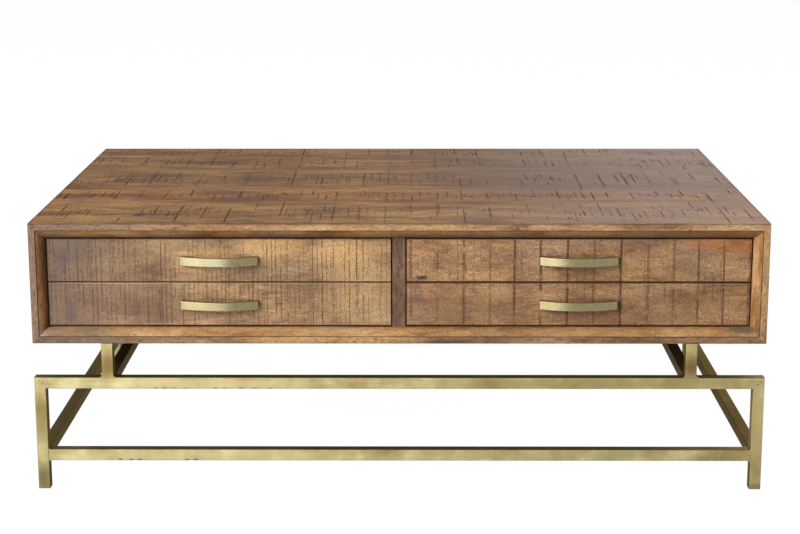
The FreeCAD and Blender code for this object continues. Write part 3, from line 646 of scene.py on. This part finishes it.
# Painted shade: the top and left beads, which face away from the light, get darker shades
SHADED_BEAD_SHADES = toned(FRONT_TONES, "#503219 #694424 #7D5731 #8B663E #9C7951")
DIVIDER_SHADES = toned(FRONT_TONES, "#3E2B1D #5A4433 #6F5543 #816653 #967D6B")
FINE_SAWS = [(23, 1.8, 0.3, 90, (0.1, 0.4), 12, 0.4)]
BEAD_Y = -368
BEAD_SMUDGES = [
    ([(560, BEAD_Y, 272)], (44, 14, 9), "#55504A", 0.8),
    ([(-566, BEAD_Y, 268), (-510, BEAD_Y, 270)], (52, 14, 15), "#71645A", 0.7),
    ([(330, BEAD_Y, 424), (530, BEAD_Y, 424)], (200, 14, 18), "#A0713F", 0.4),
]
BEADS = {
    # The top and left beads take the painted shade
    "top": ("X", SHADED_BEAD_SHADES, 11.0), "bottom": ("X", BEAD_SHADES, 14.0),
    "left": ("Z", SHADED_BEAD_SHADES, 12.0), "right": ("Z", BEAD_SHADES, 15.0),
}

bead_finish = {"grain": FRONT_GRAIN, "lanes": ("X", -20 * MM, 20 * MM), "specular": 0.15}
for end, (along, shades, board) in BEADS.items():
    bead = sawn_mango(
        f"sawn_mango_{end}_bead", along, shades, FINE_SAWS, board=board, smudges_and_highlights=BEAD_SMUDGES, **bead_finish)
    dress([f"{end}_bead"], bead)
divider = sawn_mango("sawn_mango_divider", "Z", DIVIDER_SHADES, FINE_SAWS, board=13.0, **bead_finish)
dress(["center_divider"], divider)

# %% [markdown]
# ## Drawer fronts
#
# The fronts are the palest wood on the table. On the left the saw bit often and lightly. On the right it
# left bold lines about 42 mm apart, which run through both fronts. Each front could have its own tree,
# but the two of a bay were cut from one deep board, so they share a tree that is measured over both.

# %% Shades and marks of the fronts
front_low, front_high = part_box("lower_left_drawer_front")[0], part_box("upper_left_drawer_front")[1]
FACE_Y, SEAM_EDGE_Z = round(front_low.y / MM, 1), 348.9
LEFT_SHADES = toned(FRONT_TONES, "#694A33 #866548 #9C7B58 #AF8D66 #C5A67D")
RIGHT_SHADES = toned(FRONT_TONES, "#6C4B32 #876343 #9C7752 #AD8860 #C2A077")
LEFT_SAWS = [
    (7.5, 1.7, 0.75, 70, (0.15, 0.7), 8, 0.72), (19, 1.9, 0.7, 90, (0.25, 0.8), 9, 0.76),
    (4.2, 1.4, 0.4, 40, (0.05, 0.25), 6, 0.55),
]
RIGHT_SAWS = [
    (42.4, 4.0, 1.1, 160, (0.6, 1.0), 26, 0.9), (42.4, 1.9, 0.7, 160, (0.1, 0.5), 14, 0.75),
    (13, 1.8, 0.4, 70, (0.1, 0.4), 11, 0.7), (4.5, 1.5, 0.3, 40, (0.05, 0.2), 7, 0.55),
]
LEFT_SPOTS_AND_HIGHLIGHTS = [
    # A darker grey strip along the left end of the left fronts
    ([(-548, FACE_Y, 388), (-535, FACE_Y, 300)], (13, 9, 30), "#5B4F50", 0.55),
    # Painted highlight: pale lines along the top edge of the lower left front, where the edge at the seam
    # catches the light
    ([(-450, FACE_Y, SEAM_EDGE_Z)], (200, 14, 2.4), "#D2B899", 0.4),
    ([(-150, FACE_Y, SEAM_EDGE_Z)], (210, 14, 2.2), "#CDAF86", 0.25),
]
RIGHT_SMUDGES = [
    ([(38, FACE_Y, 358)], (12, 9, 4.5), "#33241F", 0.95), ([(30, FACE_Y, 330)], (14, 9, 30), "#6A5350", 0.5),
    ([(550, FACE_Y, 408), (505, FACE_Y, 416)], (46, 9, 20), "#A8663A", 0.5),
]
LEFT_WASHES = [
    ([(-213, FACE_Y, 408), (-90, FACE_Y, 398), (-310, FACE_Y, 385)], (84, 9, 28), "#CFA672", 0.7),
    ([(-70, FACE_Y, 322), (-60, FACE_Y, 365)], (80, 9, 40), "#C29F70", 0.6),
    ([(-420, FACE_Y, 312)], (110, 9, 34), "#7A5B48", 0.45),
    ([(-530, FACE_Y, 402)], (46, 9, 40), "#65564E", 0.5),
]
RIGHT_WASHES = [
    ([(450, FACE_Y, 312), (330, FACE_Y, 300), (120, FACE_Y, 300)], (150, 9, 40), "#70503A", 0.5),
]
print("the fronts lie at", FACE_Y, "mm")

# %% Drawer fronts
# The flecks of the right bay are larger and rounder
RIGHT_GRAIN = {**FRONT_GRAIN, "fleck": (3.2, 2.2, 1)}


def front_rim(bay, most):
    """Most stain, middle, half width, seam, half gap and half height of a bay's two fronts, in metres."""
    low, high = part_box(f"lower_{bay}_drawer_front")
    upper_low, upper_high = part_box(f"upper_{bay}_drawer_front")
    seam = (high.z + upper_low.z) / 2
    return most, (low.x + high.x) / 2, (high.x - low.x) / 2, seam, upper_low.z - seam, upper_high.z - seam


front_finish = {"lanes": ("Z", front_low.z, front_high.z), "speckle": (0.62, 1.5)}
front_left = sawn_mango(
    "sawn_mango_front_left", "X", LEFT_SHADES, LEFT_SAWS, board=21.0, kerf="#452C20", washes=LEFT_WASHES,
    smudges_and_highlights=LEFT_SPOTS_AND_HIGHLIGHTS, rim=front_rim("left", 0.4), left_grey=0.75, weather="#6E5A4E", grain=FRONT_GRAIN,
    **front_finish)
front_right = sawn_mango(
    "sawn_mango_front_right", "X", RIGHT_SHADES, RIGHT_SAWS, board=22.0, kerf="#4B2D22", washes=RIGHT_WASHES,
    smudges_and_highlights=RIGHT_SMUDGES, rim=front_rim("right", 0.75), grain=RIGHT_GRAIN, **front_finish)
dress(["upper_left_drawer_front", "lower_left_drawer_front"], front_left)
dress(["upper_right_drawer_front", "lower_right_drawer_front"], front_right)

# %% [markdown]
# ## Drawer boxes
#
# The sides and backs of the drawers are planed and left bare, with only their grain to see. The bottoms
# and the back of the case are plywood, whose cut face veneer shows wide cathedral figure. A plain colour
# would do for what mostly stays shut, but the mango function already has the grain, so it is used with
# faint planer marks.

# %% Drawer boxes and plywood
BOX_TONES = (0.30, 0.45, 0.56, 0.72)
BOX_SHADES = toned(BOX_TONES, "#8A6842 #A98657 #BC9A6B #CCAF82")
PLY_SHADES = toned(BOX_TONES, "#8B6A46 #A4835A #B7966C #C7AA82")
PLANER_SAWS = [(3.2, 1.2, 0.3, 80, (0.1, 0.4), 10, 0.10)]
BARE_WEATHERED = 0.1
# Each has its grain's axis, its shades, its board, its relief and the ends of its nodes' names
BARE_WOOD = {
    "planed_mango_drawer_side": (
        "Y", BOX_SHADES, 31.0, 0.2, ("_drawer_left_side", "_drawer_right_side", "drawer_runners")),
    "planed_mango_drawer_back": ("X", BOX_SHADES, 32.0, 0.2, ("_drawer_back",)),
    "rotary_cut_plywood": ("X", PLY_SHADES, 33.0, 0.15, ("_drawer_bottom", "back_panel")),
}
for name, (along, shades, board, relief, ends) in BARE_WOOD.items():
    bare = sawn_mango(
        name, along, shades, PLANER_SAWS, board=board, weathered=BARE_WEATHERED, relief=relief)
    dress([node for node in nodes if node.endswith(ends)], bare)

# %% [markdown]
# ## Antique brass
#
# The base is steel tube with a thin brass plating, brushed along the tube and then browned. The upright
# faces are pale gold, while the tops and the faces that look inwards are darker, as painted shade. Some
# stretches of the tubes are paler or darker as painted light and shade too. It could be a flat gold
# paint, but a metal's colour is its reflection, so the finish is metallic and noise only tints it.

# %% Browner and paler stretches of the tubes, partly painted light and shade
TUBE_SHADES = toned((0.34, 0.44, 0.52, 0.62), "#82764E #988C61 #A69A6D #BAB083")
RISERS = [name for name in nodes if name.endswith("_riser")]
RISER_STAIN_Z = 212
riser_spots = []
for name in RISERS:
    low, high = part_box(name)
    middle = (low + high) / 2 / MM
    riser_spots.append((middle.x, middle.y, RISER_STAIN_Z))
LEG_X, LEG_Y = 591, -366
UPPER_RAIL_Z, LOWER_RAIL_Z = 182, 58
TUBE_STAIN_AND_PAINTED_LIGHT = [
    # Painted shade: the left leg darker between the rails and at its foot
    ([(-LEG_X, LEG_Y, 122)], (26, 26, 62), "#756539", 0.75),
    ([(-LEG_X, LEG_Y, 22)], (26, 26, 34), "#5F5638", 0.85),
    # Painted light: the right leg paler
    ([(LEG_X, LEG_Y, 110)], (26, 26, 90), "#B8AA78", 0.6),
    # Painted highlight: the left halves of the front rails paler
    ([(-310, FRONT_Y, LOWER_RAIL_Z)], (300, 20, 16), "#BDB286", 0.4),
    ([(-330, FRONT_Y, UPPER_RAIL_Z)], (240, 20, 14), "#C2B688", 0.4),
    # Painted shade: the right half of the upper rail darker
    ([(330, FRONT_Y, UPPER_RAIL_Z)], (330, 20, 14), "#877848", 0.45),
    (riser_spots, (24, 24, 26), "#6E5830", 0.9),
    # Painted shade: the left riser darker than the right
    ([spot for spot in riser_spots if spot[0] < 0], (26, 26, 44), "#6E5C36", 0.55),
]
# Pits in the welds at the tops of the front legs, and chips along the lower edges of the two front rails
WELD_PITS = [(x, FRONT_Y, z) for x, z in ((-591, 187), (-586, 183), (594, 185), (589, 181))]
EDGE_CHIPS = [(x, FRONT_Y, 174) for x in (-400, -386, -371, -352, -302, -287, -260, -238, -212)]
EDGE_CHIPS += [(x, FRONT_Y, 51) for x in (-462, -444, -430, -352, -337)]
TUBE_PITS = [(WELD_PITS, (1.8, 4, 1.4), "#4A3D22", 1), (EDGE_CHIPS, (6, 4, 1.7), "#5F502C", 1)]
PIT_WANDER = 6
print(len(TUBE_STAIN_AND_PAINTED_LIGHT), "stretches,", len(WELD_PITS), "pits and", len(EDGE_CHIPS), "chips")

# %% Browned brass tube
# The scratches of a brush are finer than a pixel, so they are drawn about 1 mm wide
SCRATCH_LENGTH_MM, SCRATCH_WIDTH_MM, SCRATCH_DETAIL, SCRATCH_ROUGHNESS = 90, 1.4, 3, 0.6
SCRATCH_SHARE = 0.22
BLOTCH_MM, BLOTCH_DETAIL, BLOTCH_ROUGHNESS = 62, 4, 0.55
STAIN_MM, STAIN_SEED, STAIN_DETAIL = 70, 3.1, 4
CHIP_MM, CHIP_DETAIL = 5, 2
FOOT_MM, FOOT_FULL_MM = 12, 7.2
TUBE_RELIEF, TUBE_RELIEF_MM, TUBE_ROUGHNESS = 0.25, 0.1, (0.58, 0.44)
# At a glancing angle the browned plating mirrors less than bare metal
TUBE_TINT = "#838392"


def browned_brass(name, along, topside=0.7):
    """Plated tube, brushed along one axis, with a share of painted shade on its top side."""
    material, tree = new_finish(name)
    place = add(tree, "ShaderNodeTexCoord", out="Object")
    where = add(tree, "ShaderNodeSeparateXYZ", {"Vector": place}).node.outputs
    facing = add(tree, "ShaderNodeSeparateXYZ", {"Vector": place.node.outputs["Normal"]}).node.outputs
    cells = [1 / MM / (SCRATCH_LENGTH_MM if axis == along else SCRATCH_WIDTH_MM) for axis in "XYZ"]
    spread = add(tree, "ShaderNodeMapping", {"Vector": place, "Scale": cells})
    brush = add(
        tree, "ShaderNodeTexNoise",
        {"Vector": spread, "Scale": 1, "Detail": SCRATCH_DETAIL, "Roughness": SCRATCH_ROUGHNESS})
    blotch = add(
        tree, "ShaderNodeTexNoise",
        {"Vector": place, "Scale": 1 / MM / BLOTCH_MM, "Detail": BLOTCH_DETAIL,
         "Roughness": BLOTCH_ROUGHNESS})
    tone = add(tree, "ShaderNodeMix", {"Factor": SCRATCH_SHARE, 2: blotch, 3: brush})
    colour = add(tree, "ShaderNodeValToRGB", {"Fac": tone}, stops=TUBE_SHADES)

    stain = add(
        tree, "ShaderNodeTexNoise",
        {"Vector": place, "W": STAIN_SEED, "Scale": 1 / MM / STAIN_MM, "Detail": STAIN_DETAIL},
        noise_dimensions="4D")
    chips = add(
        tree, "ShaderNodeTexNoise", {"Vector": place, "Scale": 1 / MM / CHIP_MM, "Detail": CHIP_DETAIL})
    outward = add(tree, "ShaderNodeMath", {0: where["X"]}, operation="SIGN")
    outward = add(tree, "ShaderNodeMath", {0: outward, 1: facing["X"]}, operation="MULTIPLY")
    # A coat grows with a value from the first end to the second, up to a share. There are brownish and
    # greenish patches and dark chips. The tops and the faces that look inwards are darker, as painted shade,
    # and the feet are darker towards the floor.
    coats = (
        (stain, 0.5, 0.78, 0.8, "#7E5F36"), (stain, 0.44, 0.30, 0.4, "#87845A"),
        (chips, 0.68, 0.74, 0.6, "#5A4726"), (facing["Z"], 0.3, 0.8, topside, "#6A6044"),
        (outward, -0.2, -0.7, 0.85, "#6A5F3C"),
        (where["Z"], FOOT_MM * MM, FOOT_FULL_MM * MM, 0.55, "#65603F"),
    )
    for value, first, last, most, code in coats:
        amount = add(
            tree, "ShaderNodeMapRange",
            {"Value": value, "From Min": first, "From Max": last, "To Min": 0, "To Max": most})
        colour = add(
            tree, "ShaderNodeMix", {"Factor": amount, 6: colour, 7: shade(code)}, out=2, data_type="RGBA")
    colour = wash(tree, place, colour, TUBE_STAIN_AND_PAINTED_LIGHT, WASH_WANDER)
    colour = wash(tree, place, colour, TUBE_PITS, PIT_WANDER)

    bump = add(
        tree, "ShaderNodeBump", {"Strength": TUBE_RELIEF, "Distance": TUBE_RELIEF_MM * MM, "Height": tone})
    rough = add(
        tree, "ShaderNodeMapRange",
        {"Value": tone, "From Min": GLOSS_FROM, "From Max": GLOSS_TO, "To Min": TUBE_ROUGHNESS[0],
         "To Max": TUBE_ROUGHNESS[1]})
    surface = add(
        tree, "ShaderNodeBsdfPrincipled",
        {"Base Color": colour, "Metallic": 1, "Roughness": rough, "Normal": bump,
         "Specular Tint": shade(TUBE_TINT)})
    add_output(tree, surface)
    return material


tube_wide = browned_brass("browned_brass_tube_wide", "X")
tube_deep = browned_brass("browned_brass_tube_deep", "Y", 0.95)
tube_upright = browned_brass("browned_brass_tube_upright", "Z")
dress([f"{end}_{level}_rail" for end in ("front", "back") for level in ("upper", "lower")], tube_wide)
dress([f"{end}_{kind}_rail" for end in ("left", "right") for kind in ("lower", "cross")], tube_deep)
dress(["mounting_plates"], tube_deep)
dress([name for name in nodes if name.endswith(("_leg", "_riser"))], tube_upright)

# %% [markdown]
# ## Weld fillets
#
# The tubes are welded, and in each inner corner the weld was ground to a small hollow fillet. The solids
# meet flat there. One fillet of unit size is easy to model by hand, and every corner then needs a copy of
# it, turned to fit, so Geometry Nodes set the copies on points that carry their turn and their size.

# %% One fillet of unit size
ARC_STEPS, SINK = 8, 0.04


def unit_fillet():
    """A hollow fillet along Y, between the faces X = 0 and Z = 0, sunk a little into both."""
    turns = [math.pi / 2 * step / ARC_STEPS for step in range(ARC_STEPS + 1)]
    outline = [(-SINK, -SINK), (1, -SINK)]
    outline += [(1 - math.sin(turn), 1 - math.cos(turn)) for turn in turns]
    outline.append((-SINK, 1))
    shape = bmesh.new()
    ends = [[shape.verts.new((x, y, z)) for x, z in outline] for y in (-0.5, 0.5)]
    for end in ends:
        shape.faces.new(end)
    for index in range(len(outline)):
        after = (index + 1) % len(outline)
        shape.faces.new([ends[0][index], ends[0][after], ends[1][after], ends[1][index]])
    bmesh.ops.recalc_face_normals(shape, faces=shape.faces)
    mesh = bpy.data.meshes.new("unit_fillet")
    shape.to_mesh(mesh)
    shape.free()
    return mesh


pattern = bpy.data.objects.new("unit_fillet", unit_fillet())
print("a fillet of", len(pattern.data.polygons), "faces")

# %% The corners of the frame
AXES = {"X": Vector((1, 0, 0)), "Y": Vector((0, 1, 0)), "Z": Vector((0, 0, 1))}
# Each tube has the axis it runs along, its welded ends, the axis of its filled sides and a fillet's size
FULL, SLIGHT = 1.0, 0.6
WELDED = [(name, "Z", (-1,), "X", FULL) for name in RISERS]
WELDED += [(f"{end}_lower_rail", "X", (-1, 1), "Z", SLIGHT) for end in ("front", "back")]
WELDED += [(f"{end}_lower_rail", "Y", (-1, 1), "Z", SLIGHT) for end in ("left", "right")]
WELDED += [(f"{end}_cross_rail", "Y", (-1, 1), "X", SLIGHT) for end in ("left", "right")]

corners, turns, shares = [], [], []
for name, run, ends, side, share in WELDED:
    low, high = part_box(name)
    for end in ends:
        for flank in (-1, 1):
            point = (low + high) / 2
            for axis, sign in ((run, end), (side, flank)):
                index = "XYZ".index(axis)
                point[index] = (low if sign < 0 else high)[index]
            along_tube, along_face = -end * AXES[run], flank * AXES[side]
            square = along_face.cross(along_tube)
            turn = Matrix((along_tube, square, along_face)).transposed()
            corners.append(point)
            turns.append(turn.to_euler())
            shares.append(share)
print(len(corners), "corners to fill")

# %% Weld fillets on the corners
FILLET_LEG, FILLET_LENGTH = 5 * MM, 17.5 * MM

mesh = bpy.data.meshes.new("weld_corners")
mesh.from_pydata(corners, [], [])
turn_values = [value for turn in turns for value in turn]
mesh.attributes.new("turn", "FLOAT_VECTOR", "POINT").data.foreach_set("vector", turn_values)
mesh.attributes.new("share", "FLOAT", "POINT").data.foreach_set("value", shares)
holder = bpy.data.objects.new("weld_corners", mesh)
for obj in (pattern, holder):
    bpy.context.scene.collection.objects.link(obj)

tree = bpy.data.node_groups.new("weld_fillets", "GeometryNodeTree")
tree.interface.new_socket("Corners", in_out="INPUT", socket_type="NodeSocketGeometry")
leg_input = tree.interface.new_socket("Leg", in_out="INPUT", socket_type="NodeSocketFloat")
length_input = tree.interface.new_socket("Length", in_out="INPUT", socket_type="NodeSocketFloat")
tree.interface.new_socket("Welds", in_out="OUTPUT", socket_type="NodeSocketGeometry")
given = tree.nodes.new("NodeGroupInput").outputs
part_share = add(tree, "GeometryNodeInputNamedAttribute", {"Name": "share"}, data_type="FLOAT")
leg = add(tree, "ShaderNodeMath", {0: given["Leg"], 1: part_share}, operation="MULTIPLY")
size = add(tree, "ShaderNodeCombineXYZ", {"X": leg, "Y": given["Length"], "Z": leg})
euler = add(tree, "GeometryNodeInputNamedAttribute", {"Name": "turn"}, data_type="FLOAT_VECTOR")
rotation = add(tree, "FunctionNodeEulerToRotation", {"Euler": euler})
one = add(tree, "GeometryNodeObjectInfo", {"Object": pattern}, out="Geometry")
copies = add(
    tree, "GeometryNodeInstanceOnPoints",
    {"Points": given["Corners"], "Instance": one, "Rotation": rotation, "Scale": size})
solid = add(tree, "GeometryNodeRealizeInstances", {"Geometry": copies})
finished = add(tree, "GeometryNodeSetMaterial", {"Geometry": solid, "Material": tube_upright})
tree.links.new(finished, tree.nodes.new("NodeGroupOutput").inputs["Welds"])

modifier = holder.modifiers.new("welds", "NODES")
modifier.node_group = tree
modifier[leg_input.identifier] = FILLET_LEG
modifier[length_input.identifier] = FILLET_LENGTH
evaluated = holder.evaluated_get(bpy.context.evaluated_depsgraph_get())
welds = bpy.data.objects.new("weld_fillets", bpy.data.meshes.new_from_object(evaluated))
for obj in (pattern, holder):
    bpy.data.objects.remove(obj)
bpy.context.scene.collection.objects.link(welds)
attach(welds, "table")
print(len(welds.data.polygons), "faces of weld")

# %% [markdown]
# ## Pulls, screws and foot plugs
#
# The pulls are solid brass, brushed along their length and lacquered. A smooth metal with a picture of
# scratches would keep a round highlight, so the shader is anisotropic, which draws the highlight out
# across the brushing. The screws are zinc plated, which gives a pale metal with a faint crystal mottle,
# and the plugs in the legs are black nylon with a fine moulded grain.

# %% Brushed brass pulls
PULL_SHADES = toned((0.3, 0.5, 0.7), "#7B6E43 #877B50 #94895E")
# Drawn about 1 mm wide so that the brushing shows
PULL_SCRATCH_LENGTH_MM, PULL_SCRATCH_WIDTH_MM = 60, 1.1
# Only the face keeps its brushed colour, and the edges and the back are darker, as painted shade
FACE_TURN, EDGE_TURN, PAINTED_EDGE_SHADE, PAINTED_EDGE_CODE = -0.85, -0.5, 0.75, "#4F4222"
PULL_RELIEF, PULL_RELIEF_MM, PULL_ROUGHNESS = 0.08, 0.1, (0.4, 0.34)
# A little of the other axes keeps the product below from vanishing on a face square to the brushing
BRUSHED_ALONG = (1, 0.02, 0.02)


def brushed_brass(name):
    """Solid brass, brushed along the pull and lacquered."""
    material, tree = new_finish(name)
    place = add(tree, "ShaderNodeTexCoord", out="Object")
    normal = place.node.outputs["Normal"]
    across = 1 / MM / PULL_SCRATCH_WIDTH_MM
    spread = add(
        tree, "ShaderNodeMapping",
        {"Vector": place, "Scale": (1 / MM / PULL_SCRATCH_LENGTH_MM, across, across)})
    brush = add(
        tree, "ShaderNodeTexNoise",
        {"Vector": spread, "Scale": 1, "Detail": SCRATCH_DETAIL, "Roughness": SCRATCH_ROUGHNESS})
    colour = add(tree, "ShaderNodeValToRGB", {"Fac": brush}, stops=PULL_SHADES)
    facing = add(tree, "ShaderNodeSeparateXYZ", {"Vector": normal}, out="Y")
    # Painted shade on the edges and the back of the pull
    edge = add(
        tree, "ShaderNodeMapRange",
        {"Value": facing, "From Min": FACE_TURN, "From Max": EDGE_TURN, "To Min": 0, "To Max": PAINTED_EDGE_SHADE})
    colour = add(
        tree, "ShaderNodeMix", {"Factor": edge, 6: colour, 7: shade(PAINTED_EDGE_CODE)}, out=2, data_type="RGBA")
    bump = add(
        tree, "ShaderNodeBump", {"Strength": PULL_RELIEF, "Distance": PULL_RELIEF_MM * MM, "Height": brush})
    rough = add(
        tree, "ShaderNodeMapRange",
        {"Value": brush, "From Min": GLOSS_FROM, "From Max": GLOSS_TO, "To Min": PULL_ROUGHNESS[0],
         "To Max": PULL_ROUGHNESS[1]})
    # Scratches spread a highlight in the direction across them
    tangent = add(
        tree, "ShaderNodeVectorMath", {0: normal, 1: BRUSHED_ALONG}, operation="CROSS_PRODUCT")
    surface = add(
        tree, "ShaderNodeBsdfPrincipled",
        {"Base Color": colour, "Metallic": 1, "Roughness": rough, "Normal": bump, "Anisotropic": 0.8,
         "Coat Weight": 1.0, "Coat Roughness": 0.2, "Tangent": tangent})
    add_output(tree, surface)
    return material


dress([name for name in nodes if name.endswith("_pull")], brushed_brass("brushed_brass_pull"))

# %% Zinc plated screws and moulded nylon
MOTTLE_TONES, MOTTLE_DETAIL, MOTTLE_RELIEF, MOTTLE_RELIEF_MM = (0.3, 0.7), 3, 0.2, 0.1
MOTTLE_GLOSS = 0.06


def grainy(name, shades, grain, metallic, roughness):
    """A surface with a fine even grain of this size in mm."""
    material, tree = new_finish(name)
    place = add(tree, "ShaderNodeTexCoord", out="Object")
    noise = add(
        tree, "ShaderNodeTexNoise", {"Vector": place, "Scale": 1 / MM / grain, "Detail": MOTTLE_DETAIL})
    colour = add(tree, "ShaderNodeValToRGB", {"Fac": noise}, stops=shades)
    bump = add(
        tree, "ShaderNodeBump",
        {"Strength": MOTTLE_RELIEF, "Distance": MOTTLE_RELIEF_MM * MM, "Height": noise})
    rough = add(
        tree, "ShaderNodeMapRange",
        {"Value": noise, "From Min": GLOSS_FROM, "From Max": GLOSS_TO, "To Min": roughness - MOTTLE_GLOSS,
         "To Max": roughness + MOTTLE_GLOSS})
    surface = add(
        tree, "ShaderNodeBsdfPrincipled",
        {"Base Color": colour, "Metallic": metallic, "Roughness": rough, "Normal": bump})
    add_output(tree, surface)
    return material


zinc = grainy("bright_zinc_plate", toned(MOTTLE_TONES, "#9A9C9A #C9C8C2"), 1.5, 1, 0.35)
nylon = grainy("moulded_black_nylon", toned(MOTTLE_TONES, "#141414 #242423"), 0.8, 0, 0.5)
dress([name for name in nodes if name.endswith("screws")], zinc)
dress(["foot_plugs"], nylon)

# %% [markdown]
# ## Floor, light and camera
#
# The table stands on a white floor that has no end in the picture. More light on it could make it white,
# but that light would fall on the wood too. So the camera and the reflections see the floor glow, and it
# still takes a shadow. The key lamp is a large soft panel to the left, in front and above. A low panel
# and two narrow cards near the floor are what the rails and the pulls mirror. A fill on the right keeps
# that side readable, and a panel behind gives the far right end of the top its pale sheen.

# %% Floor
FLOOR_SIDE = 60.0
FLOOR_GLOW, GLOW_SHARE = 1.2, 0.82


def seen_directly(tree):
    """1 where a ray comes from the camera, a reflection or a clear material, and 0 elsewhere."""
    path = add(tree, "ShaderNodeLightPath", out="Is Camera Ray")
    seen = add(tree, "ShaderNodeMath", {0: path, 1: path.node.outputs["Is Glossy Ray"]}, operation="MAXIMUM")
    clear = path.node.outputs["Is Transmission Ray"]
    return add(tree, "ShaderNodeMath", {0: seen, 1: clear}, operation="MAXIMUM")


mesh = bpy.data.meshes.new("floor")
half_side = FLOOR_SIDE / 2
square = [(x * half_side, y * half_side, 0) for x, y in ((-1, -1), (1, -1), (1, 1), (-1, 1))]
mesh.from_pydata(square, [], [(0, 1, 2, 3)])
floor = bpy.data.objects.new("floor", mesh)
bpy.context.scene.collection.objects.link(floor)
floor_finish, tree = new_finish("matte_white_floor")
matte = add(tree, "ShaderNodeBsdfDiffuse", {"Color": shade("#868686")})
glow = add(tree, "ShaderNodeEmission", {"Color": shade("#FFFFFF"), "Strength": FLOOR_GLOW})
share = add(tree, "ShaderNodeMath", {0: seen_directly(tree), 1: GLOW_SHARE}, operation="MULTIPLY")
add_output(tree, add(tree, "ShaderNodeMixShader", {"Fac": share, 1: matte, 2: glow}))
mesh.materials.append(floor_finish)
floor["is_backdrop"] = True
print("floor of", FLOOR_SIDE, "m")

# %% World
AMBIENT = 0.09

world = bpy.data.worlds.new("studio")
bpy.context.scene.world = world
world.use_nodes = True
tree = world.node_tree
tree.nodes.clear()
strength = add(
    tree, "ShaderNodeMapRange",
    {"Value": seen_directly(tree), "From Min": 0, "From Max": 1, "To Min": AMBIENT, "To Max": 1})
sky = add(tree, "ShaderNodeBackground", {"Color": shade("#FFFFFF"), "Strength": strength})
output = tree.nodes.new("ShaderNodeOutputWorld")
tree.links.new(sky, output.inputs["Surface"])
print("the world lights the table at", AMBIENT, "of white")

# %% Lamps
# Each panel has a place, a point it faces, its width and height in m, its power in watts and its colour
LAMPS = {
    "key_panel": ((-5.35, -5.7, 4.4), (0, -0.3, 0.3), (6.5, 3.6), 890, "#FFFAF1"),
    "low_panel": ((-2.34, -3.89, 0.28), (-0.05, -0.37, 0.35), (4.4, 0.55), 30, "#FFFCF6"),
    "floor_card": ((-0.84, -1.75, 0.06), (0.2, -0.74, 0.27), (1.5, 0.12), 4.6, "#E8EEFF"),
    "pull_card": ((-0.42, -2.1, 0.06), (0.29, -0.38, 0.35), (0.6, 0.12), 2.0, "#E8EEFF"),
    "side_fill": ((4.2, 1.3, 1.3), (0.5, 0, 0.3), (2.6, 1.8), 75, "#FFFBF7"),
    "sheen_panel": ((1.9, 3.3, 1.3), (0.4, 0, 0.45), (3.0, 1.4), 66, "#FFFAF8"),
}
for name, (place, aim, size, power, colour) in LAMPS.items():
    light = bpy.data.lights.new(name, "AREA")
    light.shape = "RECTANGLE"
    light.size, light.size_y = size
    light.energy = power
    light.color = shade(colour)[:3]
    panel = bpy.data.objects.new(name, light)
    panel.location = place
    panel.rotation_euler = (Vector(aim) - Vector(place)).to_track_quat("-Z", "Y").to_euler()
    panel.visible_camera = False
    bpy.context.scene.collection.objects.link(panel)
    print(name, power, "W")

# %% Camera
CAMERA_AT = Vector((0.024, -3.158, 1.030))
TILT, TURN, ROLL = math.radians(90 - 11.89), math.radians(0.45), math.radians(-0.08)
SENSOR_MM, LENS_MM, SHIFT_UP = 36, 79.4, -0.0492

lens = bpy.data.cameras.new("camera")
lens.sensor_width = SENSOR_MM
lens.lens = LENS_MM
lens.shift_y = SHIFT_UP
camera = bpy.data.objects.new("camera", lens)
turn = Matrix.Rotation(TURN, 4, "Z") @ Matrix.Rotation(TILT, 4, "X") @ Matrix.Rotation(ROLL, 4, "Z")
camera.matrix_world = Matrix.Translation(CAMERA_AT) @ turn
bpy.context.scene.collection.objects.link(camera)
bpy.context.scene.camera = camera
print("camera", round(CAMERA_AT.length, 2), "m from the origin")

# %% Sizes and end
low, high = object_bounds()
